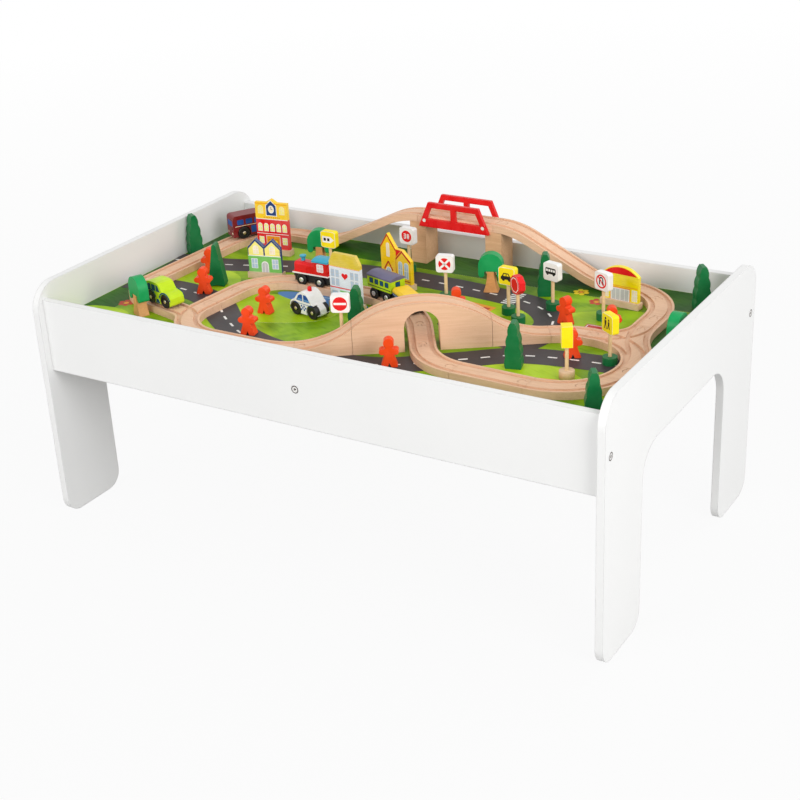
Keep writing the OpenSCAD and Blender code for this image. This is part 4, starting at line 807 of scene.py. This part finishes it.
def finish_bolts():
    """Painted shade on the head of each bolt, at the end of it that faces outward: a dark ring for the
    shade along its rim, and a dark disc for the shade down in its key socket.
    """
    for low, high in shells("frame_bolts"):
        c, size = (low + high) / 2, high - low
        k = 0 if size.x > size.y else 1
        out = Vector((0, 0, 0))
        out[k] = math.copysign(1, c[k])
        r, head, across = size.z / 2, c + out * size[k] / 2, UP.cross(out)
        # a dark ring of painted shade along the rim of the head
        for plate in ring(0, 0, r - BOLT_RIM, r - BOLT_EDGE):
            lay("table", "steel", "bronze", Face(head, across, UP), plate)
        # a dark disc of painted shade at the bottom of the key socket
        socket = Face(head - out * SOCKET_DEPTH, across, UP)
        lay("table", "steel", "bronze", socket, disc(0, 0, SOCKET_R, 24))


# Signs

SIGN_HEADINGS = {  # in the order of their plates, from left to right
    "arrow": 0, "speed": -5, "no_entry": 25, "crossing": 15, "car": -3, "stop": -35, "bus": -13,
    "no_turn": -22, "signal": 30, "walkers": -35,
}
SIGN_PLATES = dict(zip(SIGN_HEADINGS, shells("sign_plates")))
_, PLATE_T, PLATE = extent(SIGN_PLATES["arrow"])  # it stands square to the table
PLATE_R = 4.0
FIELD_INSET, FIELD_R = 0.7, 3.4  # the yellow field of a plate
EDGE_INSET, POST_GAP = 0.1, 1.0  # of the paint on a plate's narrow edge
SIGNAL_W, SIGNAL_INSET_X, SIGNAL_INSET_Z = 16.0, 0.15, 0.2
SIGNAL_H = extent(SIGN_PLATES["signal"]).z
LAMP_R, LAMP_RIM = 4.0, 0.8
LAMP_SHARES = {"red": 0.81, "amber": 0.5, "green": 0.19}
SIGN_BASE, SIGN_POST = (extent(shells(node)[0]) for node in ("sign_bases", "sign_posts"))
DIGIT_W, DIGIT_H, DIGIT_T = 4.4, 9.0, 1.7
DIGITS = {"3": ("top", "mid", "low", "upper_right", "lower_right"),
          "0": ("top", "low", "upper_left", "upper_right", "lower_left", "lower_right")}


def sign_place(name):
    """The foot of a sign's plate, which looks along its own -y."""
    low, high = SIGN_PLATES[name]
    c = (low + high) / 2
    return placed(c.x, c.y, low.z, SIGN_HEADINGS[name])


def on_sign(color, face, outline, layer=0):
    lay("table", "sign_paint", f"ink_{color}", face, outline, layer)


def digit(x, y, figure):
    """A plain number figure from straight bars, on the middle of its foot."""
    w, h, t = DIGIT_W, DIGIT_H, DIGIT_T
    bars = {"top": rect(x, y + h - t, w, t), "mid": rect(x, y + (h - t) / 2, w, t), "low": rect(x, y, w, t)}
    for side, s in (("left", -1), ("right", 1)):
        for part, foot in (("upper", y + h / 2), ("lower", y)):
            bars[f"{part}_{side}"] = rect(x + s * (w - t) / 2, foot, t, h / 2)
    return [bars[b] for b in DIGITS[figure]]


def walker(x, k):
    """A walking figure of size k: head, body and two legs."""
    c = PLATE / 2
    top, foot = c + 4.4 * k, c - 1.6
    body = [(x - 2.2 * k, foot), (x + 2.2 * k, foot), (x + 2.6 * k, top), (x - 2.6 * k, top)]
    legs = [bar(x + s * 0.8, c - 1.2, x + s * 2.8 * k, c - 8.6 * k, 1.9) for s in (-1, 1)]
    return [disc(x, c + 7.2 * k, 2.1 * k, 16), body] + legs


def octagon(r):
    """An octagon around a plate's middle, r from there to a side."""
    return arc(0, PLATE / 2, r / math.cos(math.pi / 8), 22.5, 382.5, 8)[:-1]


def in_ink(color, layer, *outlines):
    return [(color, outline, layer) for outline in outlines]


def print_signs():
    c = PLATE / 2
    side = PLATE - 2 * FIELD_INSET
    field = in_ink("lemon", 0, soft_rect(0, FIELD_INSET, side, side, FIELD_R))
    art = {
        "arrow": field + in_ink("white", 1, [(-11, 9), (5, 9), (12, 14.5), (5, 20), (-11, 20)])
        + in_ink("black", 2, rect(-6, 12, 4.6, 5), rect(1, 12, 4.6, 5)),
        "speed": in_ink("red", 0, disc(0, c, 10))
        + in_ink("white", 1, *digit(-3.2, c - DIGIT_H / 2, "3"), *digit(3.2, c - DIGIT_H / 2, "0")),
        "no_entry": in_ink("red", 0, disc(0, c, 11)) + in_ink("white", 1, rect(0, c - 1.7, 19, 3.4)),
        "crossing": in_ink("red", 0, disc(0, c, 10))
        + in_ink("white", 1, *[bar(-7.6, c - s * 7.6, 7.6, c + s * 7.6, 3.4) for s in (1, -1)]),
        "car": field
        + in_ink("black", 1, [(-10, 9), (10, 9), (10, 13.5), (6.5, 14.5), (3.5, 19.5), (-5, 19.5),
                              (-8, 14.5), (-10, 13)])
        + in_ink("black", 2, disc(-5.4, 9, 2.6, 18), disc(5.4, 9, 2.6, 18))
        + in_ink("lemon", 2, [(-5.6, 14.8), (-1, 14.8), (-1, 18), (-4, 18)],
                 [(0.4, 14.8), (4.4, 14.8), (2.6, 18), (0.4, 18)]),
        "bus": in_ink("black", 0, soft_rect(0, 11, 20, 10, 2))
        + in_ink("black", 1, disc(-6, 11, 2.2, 18), disc(6, 11, 2.2, 18))
        + in_ink("white", 1, *[rect(-7 + 4.6 * i, 15, 3.4, 3.6) for i in range(4)]),
        "no_turn": in_ink("red", 0, *ring(0, c, 8.6, 11))
        + in_ink("black", 0, rect(-3.4, c - 5.4, 2.2, 8.6), rect(3.4, c - 2, 2.2, 5.2),
                 [(0.2, c - 2), (3.4, c - 6), (6.6, c - 2)], *ring(0, c + 3, 2.3, 4.5, 24)[:12])
        + in_ink("red", 1, bar(-6.6, c + 6.6, 6.6, c - 6.6, 2)),
        "walkers": field + in_ink("black", 1, *walker(-4.4, 1), *walker(4, 0.86)),
        "stop": in_ink("red", 0, octagon(14.15)) + in_ink("white", 1, octagon(11.6))
        + in_ink("red", 2, octagon(10.2)),
    }
    for name, shapes in art.items():
        for face in broad_faces(sign_place(name), PLATE_T):
            for color, outline, layer in shapes:
                on_sign(color, face, outline, layer)
    for name in ("arrow", "car", "walkers"):
        paint_edge(name, "lemon", soft_rect(0, 0, PLATE, PLATE, PLATE_R))
    paint_edge("stop", "red", octagon(PLATE / 2))


def paint_edge(name, color, outline):
    """Paints the narrow edge of a plate, a facet for each side of its outline, clear of the post below."""
    m = sign_place(name)
    for (x0, z0), (x1, z1) in zip(outline, outline[1:] + outline[:1]):
        way = m.to_3x3() @ Vector((x0 - x1, 0, z0 - z1))
        side = way.length
        if side < LAYER:
            continue
        face = Face(m @ Vector(((x0 + x1) / 2, 0, (z0 + z1) / 2)), way / side, axis(m, 1))
        gap = SIGN_POST.x + POST_GAP if max(abs(z0), abs(z1)) < LAYER else 0.0
        strips = [(s * (side + gap) / 4, (side - gap) / 2) for s in (-1, 1)] if gap else [(0.0, side)]
        for x, w in strips:
            on_sign(color, face, rect(x, EDGE_INSET - PLATE_T / 2, w, PLATE_T - 2 * EDGE_INSET))


def print_signal():
    """The traffic light: a yellow block with its lamps at the back, on a base of bare wood."""
    m = sign_place("signal")
    w, h = SIGNAL_W - 2 * SIGNAL_INSET_X, SIGNAL_H - 2 * SIGNAL_INSET_Z
    for turn in range(4):
        face = broad_faces(m @ Matrix.Rotation(math.pi / 2 * turn, 4, "Z"), SIGNAL_W)[0]
        on_sign("lemon", face, rect(0, SIGNAL_INSET_Z, w, h))
        if turn == 2:
            for color, share in LAMP_SHARES.items():
                on_sign("black", face, disc(0, share * SIGNAL_H, LAMP_R + LAMP_RIM), 1)
                on_sign(color, face, disc(0, share * SIGNAL_H, LAMP_R), 2)
    lid = Face(m @ Vector((0, 0, SIGNAL_H)), axis(m, 0), axis(m, 1))
    on_sign("lemon", lid, rect(0, -w / 2, w, w))
    r, h = SIGN_BASE.x / 2, SIGN_BASE.z
    sleeve = [(r + 0.3, 0.1), (r + 0.3, h - 0.5), (r + 0.12, h + 0.12), (SIGN_POST.x / 2 + 0.65, h + 0.2)]
    lathe("signal_base_wood", sleeve, (*m.translation.xy, BOARD), UP, "dowel", "table")


# Buildings: prints on both sides, placed across from the middle and up from the ground

FOOT = 10.3  # lowest edge of doors and other prints
WINDOW_BAR = 0.9
HEART_W, HEART_H = 6.2, 0.39  # half width, and height of a unit of the heart's curve


def facade(name, slot):
    c = middle(name)
    m = placed(c.x, c.y, GROUND, HOUSE_HEADINGS[name])
    return both(name, slot, broad_faces(m, 2 * reach(name, c, axis(m, 1), above=GROUND + FOOT)))


def window(put, x, y, w, h, glass, bars, make=rect):
    """A pane with a frame around it and a cross in it."""
    t = WINDOW_BAR
    put(bars, make(x, y, w, h))
    put(glass, make(x, y + t, w - 2 * t, h - 2 * t), 1)
    put(bars, rect(x, y + t, t, h - 2 * t), 2)
    put(bars, rect(x, y + h * 0.48, w - 2 * t, t), 2)


def print_school():
    for put in facade("school", "school_paint"):
        put("white", rect(0, 63.8, 61, 1.2))
        put("amber", rect(0, 91.6, 61, 1.4))
        put("white", [(-10.5, 70.5), (10.5, 70.5), (10.5, 89.5), (0, 99.4), (-10.5, 89.5)])
        put("navy", [(-9.3, 71.6), (9.3, 71.6), (9.3, 89), (0, 97.8), (-9.3, 89)], 1)
        put("white", oval(0, 82.5, 5.6, 7.0), 2)
        put("cream", oval(0, 82.5, 4.4, 5.8), 3)
        put("navy", rect(0, 82.5, 0.9, 4.6), 4)
        put("navy", rect(1.4, 82.1, 3.2, 0.9), 4)
        for x in (-20.5, 20.5):
            window(put, x, 74, 10, 15, "pale", "cream", arch)
        for k in range(-4, 5):
            put("brick", disc(k * 3.6, 67.6, 0.9, 12))
        for k in range(-2, 3):
            window(put, k * 11.8, 42, 8.8, 15, "pale", "white", arch)
        put("white", rect(0, 37.4, 61, 1.0))
        put("white", rect(0, FOOT, 27, 24.4))
        put("amber", rect(0, FOOT, 25.4, 23.4), 1)
        put("brick", rect(0, FOOT, 0.9, 21), 2)
        for x in (-5.6, 5.6):
            put("brick", rect(x, 13.5, 7.0, 14), 2)
            put("yellow", rect(x, 14.4, 5.2, 12.2), 3)
        for x in (-22.5, 22.5):
            window(put, x, 19, 9.4, 13, "pale", "white")


def print_twin():
    eaves = [(-29.3, 53.6), (-14.75, 68.7), (0, 55), (14.75, 68.7), (29.3, 53.6)]
    for put in facade("twin_house", "twin_paint"):
        for (a, b), (p, q) in zip(eaves, eaves[1:]):
            put("navy", [(a, b), (p, q), (p, q - 4), (a, b - 4)], 1)
        for x, w in ((0, 2.6), (-28.7, 1.2), (28.7, 1.2)):
            put("navy", rect(x, 38.6, w, 13.4), 1)
        put("white", rect(0, 38.4, 58.6, 1.4), 2)
        for x in (-14.75, 14.75):
            window(put, x, 42.5, 10, 14.5, "cream", "white", arch)
        for x in (-18.6, 18.6):
            window(put, x, 16.5, 11.5, 17.5, "sky", "white")
        put("white", arch(0, FOOT, 13, 19.5))
        put("grey", arch(0, FOOT, 10.4, 17.6), 1)
        put("white", rect(0, FOOT, 0.9, 16), 2)


def heart(x, y):
    out = []
    for t in (math.pi * i / 20 for i in range(40)):
        up = 13 * math.cos(t) - 5 * math.cos(2 * t) - 2 * math.cos(3 * t) - math.cos(4 * t)
        out.append((x + HEART_W * math.sin(t) ** 3, y + HEART_H * up))
    return out


def print_clinic():
    for put in facade("clinic", "clinic_paint"):
        put("amber", rect(0, 69.2, 59.6, 1.0))
        put("red", rect(0, 33.6, 59.6, 1.8))
        for z in (37.5, 52.0):
            for x in (-23.5, -14.5, 14.5, 23.5):
                window(put, x, z, 6.8, 12.5, "sky", "grey")
        for x in (-21, 21):
            window(put, x, 13, 11, 16, "sky", "grey")
        put("leaf", rect(0, 28.0, 22, 2.4))
        put("grey", rect(0, FOOT, 18, 17))
        for x in (-4.3, 4.3):
            put("sky", rect(x, 10.9, 7.2, 15.4), 1)
        put("red", heart(0, 55.6))


def print_church():
    eaves = [((-32.8, 66.4), (-17.8, 89.6)), ((-17.8, 89.6), (0.4, 66)), ((0.6, 51.4), (13.8, 66)),
             ((13.8, 66), (32.8, 50.4))]
    tower = -16.6
    for put in facade("church", "church_paint"):
        for (a, b), (p, q) in eaves:
            put("brick", [(a, b), (p, q), (p, q - 4.4), (a, b - 3.6)], 1)
        put("red", [(0.7, 53), (12.6, 65.8), (0.9, 65.8)])
        put("brick", rect(0.4, FOOT, 0.9, 41))
        put("white", arch(tower, 50, 7, 24))
        put("cream", arch(tower, 51.2, 4.8, 21.8), 1)
        for x in (10, 23):
            put("white", arch(x, 19, 10, 28))
            put("sky", arch(x, 20.2, 7.8, 25.8), 1)
            put("white", rect(x, 20.2, 0.9, 25), 2)
            put("white", rect(x, 32, 7.8, 0.9), 2)
        put("brick", rect(17, 14, 27, 1.5))
        for x in (-26, -7.2):
            put("brick", bar(x, 27, tower, 42, 2.6), 1)
        put("white", arch(tower, FOOT, 12, 22))
        put("sky", arch(tower, FOOT, 9.8, 20.6), 1)
        put("white", rect(tower, FOOT, 0.9, 19), 2)


def print_station():
    top, half_w, rise = 66.0, 32.0, 66.0 * 0.21  # of the round gable
    r = (half_w ** 2 + rise ** 2) / (2 * rise)
    half = math.degrees(math.asin(30.0 / r))
    for put in facade("station", "station_paint"):
        put("red", arc(0, top - r, r - 1.3, 90 - half, 90 + half, 28))
        put("amber", rect(0, 33.4, 61, 1.2))
        put("amber", rect(0, FOOT, 36, 22))
        put("white", rect(0, FOOT, 33, 20), 1)
        for x in (-7.8, 7.8):
            put("grey", rect(x, 10.9, 14.2, 18.2), 2)
            put("white", rect(x, 10.9, 0.8, 18.2), 3)
        for x in (-25.2, 25.2):
            window(put, x, 12.5, 9.4, 18.5, "cream", "white")


# Vehicles: prints placed forward from between the axles and up from the rail or ground

VEHICLES = {  # node of the body, slot of its paint
    "loco": ("loco_body", "loco_red"), "coach": ("coach_body", "lime_paint"),
    "wagon": ("wagon_tub", "tub_blue"), "bus": ("bus_body", "bus_red"),
    "car": ("car_body", "lime_paint"), "patrol": ("patrol_body", "patrol_white"),
}
TRAIN = ("loco", "coach", "wagon")
DECK = box("loco_chassis")[1].z - box("loco_axle_front")[0].z  # top of a rail vehicle's chassis
CAB_X = -20.3
CHECK = 3.0  # a square of the patrol car's checks
TRAIN_CAP, CAR_CAP = (4.2, "cap"), (2.9, "brass")  # radius and look of a hub cap
# a hub cap's rings: share of its radius, and height
CAP_PROFILE = [(1, -0.6), (1, 0.15), (0.92, 0.42), (0.7, 0.62), (0.35, 0.74), (0.1, 0.78)]


def stance(name):
    """Place of a vehicle, from its two axles: between its wheels, on the ground, heading forward."""
    front, rear = middle(f"{name}_axle_front"), middle(f"{name}_axle_rear")
    c, way = (front + rear) / 2, front - rear
    ground = box(f"{name}_axle_front")[0].z
    return placed(c.x, c.y, ground, math.degrees(math.atan2(way.y, way.x)))


def flanks(name, turn=0.0):
    """Calls that lay prints on the two long sides of a vehicle, or on those a turn away from them."""
    node, slot = VEHICLES[name]
    m = stance(name) @ Matrix.Rotation(turn, 4, "Z")
    return both(name, slot, broad_faces(m, 2 * reach(node, m.translation, axis(m, 1))))


def ends(name):
    return flanks(name, math.pi / 2)


def framed(put, x, y, w, h, r):
    """A dark window with a black frame."""
    t = WINDOW_BAR
    put("black", soft_rect(x, y, w, h, r))
    put("teal", soft_rect(x, y + t, w - 2 * t, h - 2 * t, r - 0.4), 1)


def print_train():
    for put in flanks("loco"):
        put("white", rect(0, DECK + 0.2, 70, 2.4))
        put("white", soft_rect(CAB_X, DECK + 8, 13, 13.6, 2))
        for x in (-3, 3):
            for z in (-3, 3):
                put("rose", soft_rect(CAB_X + x, DECK + 12.4 + z, 4.6, 4.6, 0.8), 1)
    for put in ends("loco"):
        put("white", rect(0, DECK + 0.2, 26, 2.4))
    for put in flanks("coach"):
        for k in range(4):
            framed(put, (k - 1.5) * 12.2, DECK + 8, 9, 8.6, 1.4)
        put("black", rect(0, DECK + 3.2, 54, 1.4))
    for put in ends("coach"):
        framed(put, 0, DECK + 2.5, 10, 14, 1.2)
    for put in flanks("wagon"):
        put("sky", rect(0, DECK + 1.9, 54, 1.0))


def print_cars():
    for put in flanks("bus"):
        for k in range(4):
            put("blue", soft_rect((k - 1.5) * 16.4, 27, 12.4, 9.4, 1.4))
        put("cream", rect(0, 24.4, 70, 0.9))
        put("blue", rect(0, 9.4, 9.6, 13))
    for put in ends("bus"):
        put("blue", soft_rect(0, 25, 21, 10, 1.6))
        for x in (-9.5, 9.5):
            put("cream", disc(x, 12, 2.2, 20))
    for put in flanks("car"):
        for x in (-18.5, 18.5):
            for plate in ring(x, 11.0, 13.0, 15.6, 28)[1:13]:
                put("teal", plate)
        put("teal", [(-5.6, 5.2), (5.6, 5.2), (3.4, 12), (-3.4, 12)])
        put("teal", [(-25.5, 24.6), (-15.6, 24.6), (-15.6, 35), (-21.5, 35), (-25.5, 32)])
        put("teal", [(-13.8, 24.6), (-4.0, 24.6), (-4.0, 35), (-13.8, 35)])
        put("teal", [(-2.2, 24.6), (7.6, 24.6), (3.0, 34), (0.5, 35), (-2.2, 35)])
    for put in flanks("patrol"):
        put("blue", [(-15.6, 26.4), (-1.4, 26.4), (-1.4, 37.6), (-5, 37.6), (-10.4, 35)])
        put("blue", [(0.8, 26.4), (15.4, 26.4), (10.4, 34.4), (6.4, 37.6), (0.8, 37.6)])
        put("window", [(-13.2, 27.4), (-2.4, 27.4), (-2.4, 30.2), (-11.6, 30.2)], 1)
        put("window", [(1.8, 27.4), (13.8, 27.4), (12.0, 30.2), (1.8, 30.2)], 1)
        for row in range(3):
            for k in range(row % 2, 4, 2):
                put("blue", rect((k - 1.5) * CHECK, 11 + row * CHECK, CHECK, CHECK))
        put("blue", rect(0, 21.6, 40, 0.8))


def hub_caps():
    for name in VEHICLES:
        r, look = TRAIN_CAP if name in TRAIN else CAR_CAP
        profile = [(r * share, h) for share, h in CAP_PROFILE]
        across = axis(stance(name), 1)
        for end in ("front", "rear"):
            node = f"{name}_axle_{end}"
            centre = middle(node)
            half = reach(node, centre, across)
            for side, out in (("left", across), ("right", -across)):
                lathe(f"{name}_{end}_{side}_cap", profile, centre + out * half, out, look,
                      f"{name}_{end}_wheels", 28)


make_camera()
make_light()
make_floor()
dress_nodes()
print_board()
finish_bolts()
print_signs()
print_signal()
print_school()
print_twin()
print_clinic()
print_church()
print_station()
print_train()
print_cars()
build_prints()
hub_caps()
